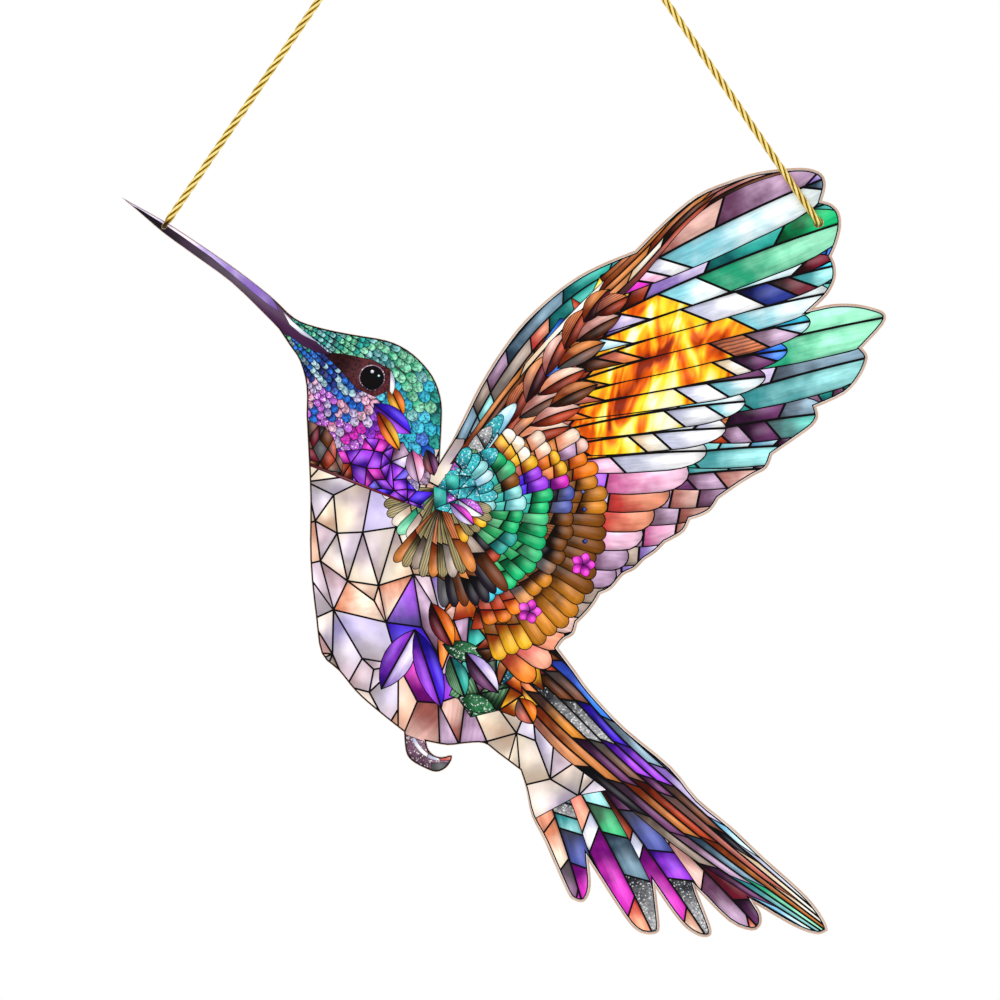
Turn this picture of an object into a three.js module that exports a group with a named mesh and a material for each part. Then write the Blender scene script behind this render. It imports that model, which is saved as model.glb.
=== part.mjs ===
// Acrylic suncatcher: a flat hummingbird cut from clear acrylic, hung from a gold twisted cord.
//
// Millimetres, +Z up. The bird's plane is XZ and its printed face looks along -Y.
// The origin is the hanging point, the underside of the cord's bend where a hook carries it.

import * as THREE from "three";
import { mergeVertices } from "three/addons/utils/BufferGeometryUtils.js";

// Driving dimensions
const BIRD_WIDTH = 200; // bill tip to far wing tip
const PANEL_THICKNESS = 3; // the acrylic sheet
const CORD_DIAMETER = 1.8; // gold cord of twisted plies
const GAP = 0.3; // air between two pieces that touch on the real object
const WING_HOLE_DIAMETER = CORD_DIAMETER + 2 * GAP; // the cord passes through it
const BILL_HOLE_DIAMETER = 1.2; // the narrow bill leaves room for no more
const WING_KNOT_DIAMETER = 4.4; // stopper knot behind the wing
const BILL_KNOT_DIAMETER = 2.5; // stopper knot behind the bill, no wider than the bill

// The bird is drawn 200 mm wide, as [across, up] from the tip of its bill.
const DRAWING_WIDTH = 200;
const DRAWING_SCALE = BIRD_WIDTH / DRAWING_WIDTH;
const BILL_TIP = { x: -96.9, z: -112.8 }; // where the drawing's datum hangs below the hook
const WING_HOLE = [182.5, -6.7];
const BILL_HOLE = [11.4, -7.7];

// Sampling of the curves
const POINTS_PER_SPAN = 3; // straight pieces between two drawn points of the outline
const HOLE_SEGMENTS = 24;
const KNOT_SEGMENTS = 20;
const KNOT_ARC_STEPS = 8;
const CORD_SIDES = 8;
const CORD_STEPS = 80;

// Outline, clockwise from the bill's tip. Each list is one smooth edge, with a corner at its ends.
const BILL_TOP = [[0, 0], [11.5, -6.4], [19.9, -11.8], [30.1, -18.8], [39, -25.7], [43.5, -30]];
const CROWN = [
  [43.5, -30], [47, -32.5], [53.5, -34.5], [61, -36], [69.5, -37.5], [75, -40], [79.5, -44],
  [82.5, -48.5], [84, -54], [84, -60], [83.5, -69],
];
const FAR_WING_EDGE = [
  [83.5, -69], [86.5, -64], [89.5, -58], [94, -49], [100, -39.5], [105.5, -32.5],
  [113, -25.5], [120, -20.5], [127, -17], [134.5, -14],
];
const NEAR_WING_EDGE = [
  [134.5, -14], [142.5, -6], [150.5, 0.5], [158.5, 4], [166.5, 6.5], [174.5, 7.5],
  [180, 7.5], [183.5, 6], [184.5, 3], [183.5, -1],
];
const NEAR_WING_TIPS = [
  [[183.5, -1], [186, -1.8], [188, -4], [188.5, -7.5], [187.5, -12], [186, -15.5]],
  [[186, -15.5], [187, -18], [187, -21.5], [185, -25.5], [181.5, -29]],
];
const FAR_WING_TIPS = [
  [[181.5, -29], [186.5, -28], [192, -28], [197, -29], [200, -30.5], [199.5, -33.5], [194, -39.5]],
  [[194, -39.5], [195.5, -42], [193.5, -47], [189.5, -51.5], [182, -55]],
  [[182, -55], [182.5, -57.5], [181, -60], [177, -63], [170.5, -67.5]],
  [[170.5, -67.5], [169, -71], [165.5, -73], [161.5, -75.5], [156.5, -79]],
  [[156.5, -79], [154.5, -82], [152, -83.5], [149, -84.5]],
  [[149, -84.5], [147.5, -87.5], [144.5, -89.5], [142.5, -90.5]],
  [[142.5, -90.5], [140, -93], [137, -95]],
  [[137, -95], [134.5, -97.5], [131.5, -99], [128.5, -102.5], [125.5, -104]],
  [[125.5, -104], [124, -106.5], [122, -109], [119.5, -111.5]],
  [[119.5, -111.5], [118.5, -114.5], [116, -116], [114.5, -118]],
];
const TAIL_TOP = [
  [114.5, -118], [119, -124], [123, -129.5], [132, -139], [144, -149], [151, -157.5],
  [159.5, -164.5], [168.5, -173], [178, -181.5], [182, -186], [184.5, -190], [185, -192],
];
const TAIL_TIPS = [
  [[185, -192], [182.5, -193], [178.5, -192], [173.5, -189.5], [166, -185]],
  [[166, -185], [167.5, -187.5], [167.5, -190.5], [165, -192], [159, -189.5], [150.5, -181]],
  [[150.5, -181], [152.5, -186], [154.5, -191.5], [154, -193.5], [151.5, -193.5], [148, -191.5],
    [144.5, -187.5], [140, -181]],
  [[140, -181], [140.5, -185.5], [141, -190.5], [140.5, -192.5], [138, -193], [135, -192],
    [131.5, -188], [122.5, -174]],
  [[122.5, -174], [123, -179], [122.5, -182.5], [121, -184.5], [118.5, -184], [116.5, -181.5],
    [111, -169], [107.5, -162], [106, -155], [104.5, -150]],
];
const BELLY = [[104.5, -150], [98.5, -145.5], [95, -143], [90.5, -143], [85.5, -143.5], [80, -142.5]];
const FOOT = [
  [80, -142.5], [80.5, -144.5], [82, -146], [84, -146.5], [86.5, -146], [86.5, -147.5],
  [85, -149.5], [82.5, -150.5], [79.5, -149.5], [76, -147.5], [74.5, -145], [74, -140],
];
const BREAST = [
  [74, -140], [66.5, -134], [61.5, -129.5], [57, -124], [52.5, -119.5], [51, -110],
  [49.5, -95], [49.5, -79], [49, -66.5], [48.5, -57],
];
const THROAT = [[48.5, -57], [48.5, -49.5], [46.8, -43], [44.2, -39], [41.3, -34.6]];
const BILL_LOW = [
  [41.3, -34.6], [38.1, -31.3], [29, -22.5], [19.6, -15.6], [11.3, -9.6], [4.5, -3.8], [0, 0],
];

const OUTLINE = [
  BILL_TOP, CROWN, FAR_WING_EDGE, NEAR_WING_EDGE, ...NEAR_WING_TIPS, ...FAR_WING_TIPS,
  TAIL_TOP, ...TAIL_TIPS, BELLY, FOOT, BREAST, THROAT, BILL_LOW,
];

// Route of the cord's centre line, from the wing's hole over the hook to the bill's hole.
// It lies before the printed face at both ends and comes over the panel's middle at the hook.
const CORD_ROUTE = [
  [85.6, -2.7, -119.5], [82, -2.7, -114.3], [77.5, -2.7, -107.7], [72.9, -2.65, -101],
  [62, -2.15, -85.2], [50, -1.6, -67.8], [38, -1.15, -50.4], [26, -0.7, -33], [14, -0.25, -15.6],
  [7, -0.05, -5.4], [4.1, 0, -1.3], [3, 0, -0.1], [1.6, 0, 0.65], [0, 0, 0.9],
  [-1.6, 0, 0.65], [-3, 0, -0.1], [-4.1, 0, -1.3], [-7, -0.05, -5.5], [-14, -0.25, -15.7],
  [-26, -0.7, -33.3], [-38, -1.15, -50.9], [-50, -1.6, -68.5], [-62, -2.15, -86.1],
  [-72.9, -2.65, -102], [-77.5, -2.7, -108.8], [-82, -2.7, -115.4], [-85.5, -2.7, -120.5],
];

// Finishes
const CLEAR_ACRYLIC = new THREE.MeshStandardMaterial({
  name: "printed_acrylic", color: 0xa89fc4, roughness: 0.08, metalness: 0, transparent: true, opacity: 0.85,
});
const GOLD_CORD = new THREE.MeshStandardMaterial({
  name: "gold_cord", color: 0xc9a227, roughness: 0.4, metalness: 0.6,
});

// One smooth edge of the drawing as points, without its last one, which starts the next edge.
function edgePoints(edge) {
  const curve = new THREE.SplineCurve(edge.map(([across, up]) => new THREE.Vector2(across, up)));
  const points = curve.getPoints(POINTS_PER_SPAN * (edge.length - 1));
  return points.slice(0, -1);
}

// A drawn place at the bird's real size.
function atSize([across, up]) {
  return new THREE.Vector2(across, up).multiplyScalar(DRAWING_SCALE);
}

function roundHole([across, up], diameter) {
  const hole = new THREE.Path();
  const { x, y } = atSize([across, up]);
  hole.absarc(x, y, diameter / 2, 0, 2 * Math.PI);
  return new THREE.Path(hole.getPoints(HOLE_SEGMENTS).slice(0, -1));
}

// The sheet, cut along the outline, with its middle plane at Y = 0.
function panelGeometry() {
  const points = OUTLINE.flatMap(edgePoints).map((point) => point.multiplyScalar(DRAWING_SCALE));
  const shape = new THREE.Shape(points);
  shape.holes.push(roundHole(WING_HOLE, WING_HOLE_DIAMETER), roundHole(BILL_HOLE, BILL_HOLE_DIAMETER));
  const sheet = new THREE.ExtrudeGeometry(shape, { depth: PANEL_THICKNESS, bevelEnabled: false });
  sheet.rotateX(Math.PI / 2);
  sheet.translate(0, PANEL_THICKNESS / 2, 0);
  return closed(sheet);
}

// A body whose faces share their corners.
function closed(geometry) {
  geometry.deleteAttribute("normal");
  geometry.deleteAttribute("uv");
  const merged = mergeVertices(geometry);
  merged.computeVertexNormals();
  return merged;
}

// The cord as a round tube that follows its route.
function cordGeometry() {
  const route = new THREE.CatmullRomCurve3(CORD_ROUTE.map((place) => new THREE.Vector3(...place)));
  const section = new THREE.Shape();
  section.absarc(0, 0, CORD_DIAMETER / 2, 0, 2 * Math.PI);
  const sides = new THREE.Shape(section.getPoints(CORD_SIDES).slice(0, -1));
  return closed(new THREE.ExtrudeGeometry(sides, { extrudePath: route, steps: CORD_STEPS }));
}

// A stopper knot: its stem fills the hole, and its round body bears on the panel's back.
function knotGeometry(holeDiameter, knotDiameter) {
  const stemRadius = holeDiameter / 2 - GAP;
  const knotRadius = knotDiameter / 2;
  const back = PANEL_THICKNESS / 2 + GAP;
  const seatAngle = Math.asin(stemRadius / knotRadius);
  const middle = back + knotRadius * Math.cos(seatAngle);
  const profile = [new THREE.Vector2(0, -PANEL_THICKNESS / 2), new THREE.Vector2(stemRadius, -PANEL_THICKNESS / 2)];
  for (let step = 0; step < KNOT_ARC_STEPS; step++) {
    const turn = seatAngle + ((Math.PI - seatAngle) * step) / KNOT_ARC_STEPS;
    profile.push(new THREE.Vector2(knotRadius * Math.sin(turn), middle - knotRadius * Math.cos(turn)));
  }
  profile.push(new THREE.Vector2(0, middle + knotRadius));
  return closed(new THREE.LatheGeometry(profile, KNOT_SEGMENTS));
}

function named(name, geometry, material) {
  const mesh = new THREE.Mesh(geometry, material);
  mesh.name = name;
  return mesh;
}

const panel = named("acrylic_panel", panelGeometry(), CLEAR_ACRYLIC);
const wingKnot = named("wing_knot", knotGeometry(WING_HOLE_DIAMETER, WING_KNOT_DIAMETER), GOLD_CORD);
const billKnot = named("bill_knot", knotGeometry(BILL_HOLE_DIAMETER, BILL_KNOT_DIAMETER), GOLD_CORD);
const cord = named("hanging_cord", cordGeometry(), GOLD_CORD);

for (const [knot, hole] of [[wingKnot, WING_HOLE], [billKnot, BILL_HOLE]]) {
  const place = atSize(hole);
  knot.position.set(place.x, 0, place.y);
}

const bird = new THREE.Group();
bird.position.set(BILL_TIP.x, 0, BILL_TIP.z);
bird.add(panel, wingKnot, billKnot);

const suncatcher = new THREE.Group();
suncatcher.name = "acrylic_suncatcher";
suncatcher.add(bird, cord);

export default suncatcher;
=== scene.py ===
# %% [markdown]
# # An acrylic suncatcher on a gold cord
#
# The object is one flat hummingbird, laser cut from clear acrylic sheet and printed so that it
# looks like stained glass. A gold twisted cord runs from a hole near the wing's tip, over a hook,
# to a hole in the bill. The frame holds the sheet, the cord's route and its two knots at their
# real size. This lesson adds the looks: camera, cord, clear acrylic, leading and glass-like inks.

# %% Load the frame
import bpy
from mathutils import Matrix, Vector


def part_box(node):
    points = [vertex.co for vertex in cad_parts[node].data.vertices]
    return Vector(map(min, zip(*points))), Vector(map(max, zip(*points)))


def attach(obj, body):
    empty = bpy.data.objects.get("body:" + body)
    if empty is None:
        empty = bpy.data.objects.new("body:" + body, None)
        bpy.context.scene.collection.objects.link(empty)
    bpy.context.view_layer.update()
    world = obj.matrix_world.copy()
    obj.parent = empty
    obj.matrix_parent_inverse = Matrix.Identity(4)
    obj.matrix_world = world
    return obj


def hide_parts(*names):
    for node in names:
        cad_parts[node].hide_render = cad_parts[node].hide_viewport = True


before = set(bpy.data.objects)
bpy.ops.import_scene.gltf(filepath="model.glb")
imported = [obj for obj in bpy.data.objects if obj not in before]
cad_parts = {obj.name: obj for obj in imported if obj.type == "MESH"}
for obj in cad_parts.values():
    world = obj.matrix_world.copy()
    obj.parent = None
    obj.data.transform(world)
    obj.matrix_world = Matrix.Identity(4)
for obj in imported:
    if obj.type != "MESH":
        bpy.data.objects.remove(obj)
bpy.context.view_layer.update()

print("the frame holds", sorted(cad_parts))

# %% Tools and units
import math
import random

import bmesh
import bpy
from mathutils import Vector
from mathutils.geometry import delaunay_2d_cdt, intersect_line_line_2d

MM = 0.001
SEED = 7


def linear(colour):
    """An sRGB hex colour as the linear values that the shader takes."""
    channels = [int(colour[k:k + 2], 16) / 255 for k in (1, 3, 5)]
    return [c / 12.92 if c <= 0.04045 else ((c + 0.055) / 1.055) ** 2.4 for c in channels] + [1.0]


def add_node(tree, kind, inputs=None, **settings):
    """Adds a node to a tree. An input is a value, an output to link, or a node for its first output."""
    made = tree.nodes.new(kind)
    for name, value in settings.items():
        setattr(made, name, value)
    for socket, value in (inputs or {}).items():
        if isinstance(value, bpy.types.Node):
            value = value.outputs[0]
        if isinstance(value, bpy.types.NodeSocket):
            tree.links.new(value, made.inputs[socket])
        else:
            made.inputs[socket].default_value = value
    return made


def add_object(name, data):
    """Makes an object of its data and links it into the scene."""
    made = bpy.data.objects.new(name, data)
    bpy.context.scene.collection.objects.link(made)
    return made


def ease(share):
    """Turns a share that grows evenly into one that starts and ends gently, and keeps it in 0 to 1."""
    share = min(max(share, 0), 1)
    return share * share * (3 - 2 * share)


def leftwards(along):
    """A flat direction turned a quarter to the left."""
    return Vector((-along.y, along.x))


def heading(angle):
    """The flat direction at an angle in radians."""
    return Vector((math.cos(angle), math.sin(angle)))

# %% [markdown]
# ## The camera
#
# The photograph looks straight at the printed face, with no lean and hardly any perspective. A
# long lens far away gives that. The picture shows 262 mm of the object's plane, and cuts the cord
# off above, where its two strands still lean towards each other.

# %% Place the camera
PICTURE_WIDTH = 261.8 * MM
PICTURE_CENTRE = Vector((2.3, 0, -192.1)) * MM
CAMERA_DISTANCE = 2.6
SENSOR_WIDTH = 36.0

lens = bpy.data.cameras.new("camera")
lens.sensor_width = SENSOR_WIDTH
lens.lens = SENSOR_WIDTH * CAMERA_DISTANCE / PICTURE_WIDTH
lens.clip_start = 0.1
lens.clip_end = 20
camera = add_object("camera", lens)
camera.location = PICTURE_CENTRE - Vector((0, CAMERA_DISTANCE, 0))
camera.rotation_euler = (math.radians(90), 0, 0)
bpy.context.scene.camera = camera
print(f"lens {lens.lens:.0f} mm at {CAMERA_DISTANCE} m")

# %% [markdown]
# ## The cord's route
#
# The cord is taut, so each strand is straight. It bends over a hook at the top, which the
# photograph doesn't show, and at each end it turns back through its hole to a stopper knot. A
# curve through the same points as the frame's tube gives the line. Two points more at each end
# lead it into the hole.

# %% Write down the route
CORD_DIAMETER = 1.8 * MM
PANEL_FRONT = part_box("acrylic_panel")[0][1]
PANEL_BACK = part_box("acrylic_panel")[1][1]
CORD_ROUTE = [
    (85.6, -2.7, -119.5), (82, -2.7, -114.3), (77.5, -2.7, -107.7), (72.9, -2.65, -101),
    (62, -2.15, -85.2), (50, -1.6, -67.8), (38, -1.15, -50.4), (26, -0.7, -33), (14, -0.25, -15.6),
    (7, -0.05, -5.4), (4.1, 0, -1.3), (3, 0, -0.1), (1.6, 0, 0.65), (0, 0, 0.9),
    (-1.6, 0, 0.65), (-3, 0, -0.1), (-4.1, 0, -1.3), (-7, -0.05, -5.5), (-14, -0.25, -15.7),
    (-26, -0.7, -33.3), (-38, -1.15, -50.9), (-50, -1.6, -68.5), (-62, -2.15, -86.1),
    (-72.9, -2.65, -102), (-77.5, -2.7, -108.8), (-82, -2.7, -115.4), (-85.5, -2.7, -120.5),
]
route = [Vector(place) * MM for place in CORD_ROUTE]
wing_hole, bill_hole = route[0], route[-1]
print(f"{len(route)} points, holes {(wing_hole - bill_hole).length / MM:.0f} mm apart")

# %% Sample the route
STEPS_PER_SPAN = 10
HOLE_TURN = 1.1 * MM  # how far before its hole the cord begins to turn back
MOUTH_GAP = 0.25 * MM  # from the sheet's front to the cord's middle, where it enters
KNOT_REACH = 0.5 * MM  # how far behind the sheet the cord meets its knot
BILL_NARROWING = 0.5  # share of its thickness that the cord keeps in the bill's small hole
BILL_TAPER = 2.6 * MM  # how near that hole it begins to narrow


def smooth_line(places, steps=STEPS_PER_SPAN):
    """Points on a smooth curve through some places, a Catmull-Rom spline."""
    places = [Vector(p) for p in places]
    line = []
    for k in range(len(places) - 1):
        p0, p1, p2, p3 = (places[min(max(k + j, 0), len(places) - 1)] for j in (-1, 0, 1, 2))
        for step in range(steps):
            t = step / steps
            line.append(0.5 * (2 * p1 + (p2 - p0) * t + (2 * p0 - 5 * p1 + 4 * p2 - p3) * t * t
                               + (3 * p1 - p0 - 3 * p2 + p3) * t ** 3))
    return line + [places[-1]]


def into_hole(hole, before):
    """Places that lead the cord from before its hole, through the sheet and out at the back."""
    start = hole - (hole - before).normalized() * HOLE_TURN
    return [start] + [Vector((hole.x, y, hole.z)) for y in (PANEL_FRONT - MOUTH_GAP, PANEL_BACK + KNOT_REACH)]


cord_line = smooth_line(into_hole(wing_hole, route[1])[::-1] + route[1:-1] + into_hole(bill_hole, route[-2]))


def cord_width(place):
    """The cord's thickness at a place, as a share of the full one: less in the bill's hole."""
    return BILL_NARROWING + (1 - BILL_NARROWING) * ease((place.xz - bill_hole.xz).length / BILL_TAPER)


cord_length = sum((b - a).length for a, b in zip(cord_line, cord_line[1:]))
print(f"the cord is {cord_length / MM:.0f} mm long from knot to knot")

# %% [markdown]
# ## Twisting the cord
#
# Real gold cord is four plies laid round each other. Geometry Nodes make that from any line: the
# curve is resampled, copied once for each ply, and each copy is pushed off the line by an angle
# that grows with the length. A round profile then gives each ply its body. One tree serves the
# long cord and the small knots. It also stores how far along, around and out from the middle a
# place lies, for the threads and the painted shade in the grooves that the material draws.

# %% Build the twisting tree
PLIES = 4
LAY_LENGTH = 12.4 * MM  # one full turn of a ply
STEPS_PER_LAY = 20
PLY_SHARE = 0.222  # a ply's radius as a share of the cord's diameter
PLY_SIDES = 10
FULL_TURN = 2 * math.pi
MATHS = "ShaderNodeMath"
VECTOR_MATHS = "ShaderNodeVectorMath"
STORE = "GeometryNodeStoreNamedAttribute"


def build_cord_tree(thread):
    """Lays plies of a thread round any line. Its sizes are inputs, and nothing in it is random."""
    tree = bpy.data.node_groups.new("twisted cord", "GeometryNodeTree")
    tree.interface.new_socket("Geometry", in_out="INPUT", socket_type="NodeSocketGeometry")
    for name, kind, value in (("Cord Diameter", "Float", CORD_DIAMETER), ("Plies", "Int", PLIES),
                              ("Lay Length", "Float", LAY_LENGTH),
                              ("Step", "Float", LAY_LENGTH / STEPS_PER_LAY)):
        socket = tree.interface.new_socket(name, in_out="INPUT", socket_type="NodeSocket" + kind)
        socket.default_value = value
    tree.interface.new_socket("Geometry", in_out="OUTPUT", socket_type="NodeSocketGeometry")
    given = add_node(tree, "NodeGroupInput").outputs

    # The line becomes even steps, once for each ply.
    line = add_node(tree, "GeometryNodeResampleCurve",
                    {"Curve": given["Geometry"], "Length": given["Step"]}, mode="LENGTH")
    copies = add_node(tree, "GeometryNodeDuplicateElements",
                      {"Geometry": line, "Amount": given["Plies"]}, domain="SPLINE")

    # Each step of a ply remembers the cord's middle, and is pushed off it at an angle that grows
    # with the length.
    place = add_node(tree, "GeometryNodeInputPosition")
    middle = add_node(tree, STORE, {"Geometry": copies, "Name": "middle", "Value": place},
                      data_type="FLOAT_VECTOR", domain="POINT")
    length = add_node(tree, "GeometryNodeSplineParameter").outputs["Length"]
    width = add_node(tree, "GeometryNodeInputRadius")
    turn = add_node(tree, MATHS, {0: length, 1: given["Lay Length"]}, operation="DIVIDE")
    number = copies.outputs["Duplicate Index"]
    share = add_node(tree, MATHS, {0: number, 1: given["Plies"]}, operation="DIVIDE")
    phase = add_node(tree, MATHS, {0: turn, 1: share}, operation="ADD")
    angle = add_node(tree, MATHS, {0: phase, 1: FULL_TURN}, operation="MULTIPLY")
    full_reach = add_node(tree, MATHS, {0: given["Cord Diameter"], 1: 0.5 - PLY_SHARE}, operation="MULTIPLY")
    reach = add_node(tree, MATHS, {0: full_reach, 1: width}, operation="MULTIPLY")
    normal = add_node(tree, "GeometryNodeInputNormal")
    tangent = add_node(tree, "GeometryNodeInputTangent")
    side = add_node(tree, VECTOR_MATHS, {0: tangent, 1: normal}, operation="CROSS_PRODUCT")
    pushes = []
    for direction, wave in ((normal, "COSINE"), (side, "SINE")):
        part = add_node(tree, MATHS, {0: angle}, operation=wave)
        distance = add_node(tree, MATHS, {0: part, 1: reach}, operation="MULTIPLY")
        pushes.append(add_node(tree, VECTOR_MATHS, {0: direction, "Scale": distance}, operation="SCALE"))
    push = add_node(tree, VECTOR_MATHS, dict(enumerate(pushes)), operation="ADD")
    ply = add_node(tree, "GeometryNodeSetPosition", {"Geometry": middle, "Offset": push})
    along = add_node(tree, STORE, {"Geometry": ply, "Name": "along", "Value": length},
                     data_type="FLOAT", domain="POINT")

    # A round profile gives each ply its body.
    ply_radius = add_node(tree, MATHS, {0: given["Cord Diameter"], 1: PLY_SHARE}, operation="MULTIPLY")
    ring = add_node(tree, "GeometryNodeCurvePrimitiveCircle",
                    {"Resolution": PLY_SIDES, "Radius": ply_radius}, mode="RADIUS")
    share_round = add_node(tree, "GeometryNodeSplineParameter").outputs["Factor"]
    around = add_node(tree, STORE, {"Geometry": ring, "Name": "around", "Value": share_round},
                      data_type="FLOAT", domain="POINT")
    body = add_node(tree, "GeometryNodeCurveToMesh",
                    {"Curve": along, "Profile Curve": around, "Fill Caps": True})
    if "Scale" in body.inputs:
        tree.links.new(width.outputs[0], body.inputs["Scale"])

    # How far out a place lies is stored too: 1 on a ply's crown, less in the groove between plies.
    kept = add_node(tree, "GeometryNodeInputNamedAttribute", {"Name": "middle"}, data_type="FLOAT_VECTOR")
    far = add_node(tree, VECTOR_MATHS, {0: place, 1: kept}, operation="DISTANCE").outputs["Value"]
    radius = add_node(tree, MATHS, {0: given["Cord Diameter"], 1: 0.5}, operation="MULTIPLY")
    outward = add_node(tree, MATHS, {0: far, 1: radius}, operation="DIVIDE")
    marked = add_node(tree, STORE, {"Geometry": body, "Name": "outward", "Value": outward},
                      data_type="FLOAT", domain="POINT")
    real = add_node(tree, "GeometryNodeRealizeInstances", {"Geometry": marked})
    finish = add_node(tree, "GeometryNodeSetMaterial", {"Geometry": real, "Material": thread})
    add_node(tree, "NodeGroupOutput", {0: finish})
    return tree

# %% [markdown]
# The thread is polyester film with a gold metal coat, cut fine and twisted, so it shines like
# metal but each fine thread has its own edge. Sine ridges across the ply, run off the stored
# places, give the threads, with painted shade between them and a painted highlight on each
# ridge. Little light reaches the grooves between the plies, so painted shade runs the colour from
# deep bronze there to pale gold on the crowns, and a slow noise varies it.

# %% Make the gold thread
# The gold's stops are painted shade: deep bronze in the groove between plies, pale gold on the crowns.
GOLD_SHADING_STOPS = (0.12, "#4a2e04"), (0.68, "#bf9626"), (1.0, "#f8e392")  # groove, body and crown
GROOVE_DEPTH, CROWN_HEIGHT = 0.62, 1.0  # the stored way out, in the groove and on the crown
THREADS_ROUND_PLY = 5
THREAD_LAY = 9.6 * MM  # one full turn of a thread round its ply
PATCH_SIZE = 2.4 * MM
PATCH_TONE, THREAD_TONE = 0.5, 0.16  # how far the noise and the threads shift the colour
SHADER = "ShaderNodeBsdfPrincipled"


def new_material(name):
    """An empty material and its tree."""
    material = bpy.data.materials.new(name)
    material.use_nodes = True
    material.node_tree.nodes.clear()
    return material, material.node_tree


def set_stops(ramp, stops):
    """Gives a colour ramp its stops, each a position and a hex colour, the lowest first."""
    elements = ramp.color_ramp.elements
    for element, (position, colour) in zip(elements, (stops[0], stops[-1])):
        element.position, element.color = position, linear(colour)
    for position, colour in stops[1:-1]:
        elements.new(position).color = linear(colour)


def gold_thread():
    """Metal-coated film with painted shade: bronze in the grooves, pale gold on the crowns, ridged by its
    threads, which are painted lighter on top.
    """
    material, tree = new_material("gold metallic cord thread")
    along, around, out = (add_node(tree, "ShaderNodeAttribute", attribute_name=name).outputs["Fac"]
                          for name in ("along", "around", "outward"))
    lean = add_node(tree, MATHS, {0: along, 1: THREADS_ROUND_PLY / THREAD_LAY}, operation="MULTIPLY")
    count = add_node(tree, MATHS, {0: around, 1: THREADS_ROUND_PLY, 2: lean}, operation="MULTIPLY_ADD")
    angle = add_node(tree, MATHS, {0: count, 1: FULL_TURN}, operation="MULTIPLY")
    ridge = add_node(tree, MATHS, {0: angle}, operation="SINE")
    height = add_node(tree, MATHS, {0: ridge, 1: 0.5, 2: 0.5}, operation="MULTIPLY_ADD")
    place = add_node(tree, "ShaderNodeTexCoord").outputs["Object"]
    patches = add_node(tree, "ShaderNodeTexNoise", {"Vector": place, "Scale": 1 / PATCH_SIZE, "Detail": 2.0})
    # Painted shade: the colour darkens from each ply's crown into the groove, where little light reaches.
    rise = add_node(tree, "ShaderNodeMapRange",
                    {"Value": out, "From Min": GROOVE_DEPTH, "From Max": CROWN_HEIGHT}).outputs[0]
    patch_tone = add_node(tree, MATHS, {0: patches, 1: PATCH_TONE, 2: -PATCH_TONE / 2},
                          operation="MULTIPLY_ADD")
    # Painted highlight and shade of the threads: lighter on each ridge, darker between them.
    thread_tone = add_node(tree, MATHS, {0: height, 1: THREAD_TONE, 2: patch_tone}, operation="MULTIPLY_ADD")
    tone = add_node(tree, MATHS, {0: rise, 1: thread_tone}, operation="ADD")
    ramp = add_node(tree, "ShaderNodeValToRGB", {"Fac": tone})
    set_stops(ramp, GOLD_SHADING_STOPS)
    bump = add_node(tree, "ShaderNodeBump", {"Strength": 0.5, "Distance": 0.05 * MM, "Height": height})
    shader = add_node(tree, SHADER, {"Base Color": ramp.outputs["Color"], "Metallic": 0.9,
                                     "Roughness": 0.32, "Normal": bump})
    add_node(tree, "ShaderNodeOutputMaterial", {"Surface": shader})
    return material


cord_tree = build_cord_tree(gold_thread())
print("the twisting tree has", len(cord_tree.nodes), "nodes")

# %% Lay the cord and tie its ends
def set_inputs(modifier, values):
    """Sets a modifier's inputs by name, through each socket's identifier."""
    names = {s.name: s.identifier for s in modifier.node_group.interface.items_tree if s.in_out == "INPUT"}
    for name, value in values.items():
        modifier[names[name]] = value


def twisted_piece(name, places, widths, diameter, closed=False):
    """A cord through some places, as a plain mesh made by the twisting tree."""
    lay = LAY_LENGTH * diameter / CORD_DIAMETER
    curve = bpy.data.curves.new(name, "CURVE")
    curve.dimensions = "3D"
    spline = curve.splines.new("POLY")
    spline.points.add(len(places) - 1)
    for point, place, width in zip(spline.points, places, widths):
        point.co = (*place, 1)
        point.radius = width
    spline.use_cyclic_u = closed
    holder = add_object(name, curve)
    twist = holder.modifiers.new("twist", "NODES")
    twist.node_group = cord_tree
    set_inputs(twist, {"Cord Diameter": diameter, "Lay Length": lay, "Step": lay / STEPS_PER_LAY})
    depsgraph = bpy.context.evaluated_depsgraph_get()
    mesh = bpy.data.meshes.new_from_object(holder.evaluated_get(depsgraph))
    bpy.data.objects.remove(holder)
    mesh.name = name
    mesh.polygons.foreach_set("use_smooth", [True] * len(mesh.polygons))
    return add_object(name, mesh)


CORD_FULLNESS = 1.08  # the plies leave hollows in the cord's outline, so they are laid a little fuller
KNOT_STEPS = 72
KNOT_CORD_SHARE = 0.36  # the cord's thickness in a knot, as a share of the knot's size
KNOT_SPAN = 8.6  # the width of the trefoil formula with the cord's thickness on it
KNOT_DEPTH = 1.1  # how deep its loops pass before and behind each other
KNOT_GAP, KNOT_MIDDLE = 0.3 * MM, 0.55  # from the sheet's back, and on to its middle as a share of its size


def knot_places(hole, size):
    """A trefoil knot behind the sheet, closed on itself, with its middle behind the hole."""
    middle = Vector((hole.x, PANEL_BACK + KNOT_GAP + KNOT_MIDDLE * size, hole.z))
    turns = [FULL_TURN * k / KNOT_STEPS for k in range(KNOT_STEPS)]
    return [middle + Vector((math.sin(t) + 2 * math.sin(2 * t), KNOT_DEPTH * math.sin(3 * t),
                             math.cos(t) - 2 * math.cos(2 * t))) * size / KNOT_SPAN for t in turns]


def tied_knot(name, hole, node):
    """A knot of the size that the frame gives its node."""
    low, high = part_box(node)
    size = high.x - low.x
    return twisted_piece(name, knot_places(hole, size), [1] * KNOT_STEPS, KNOT_CORD_SHARE * size, closed=True)


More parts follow.
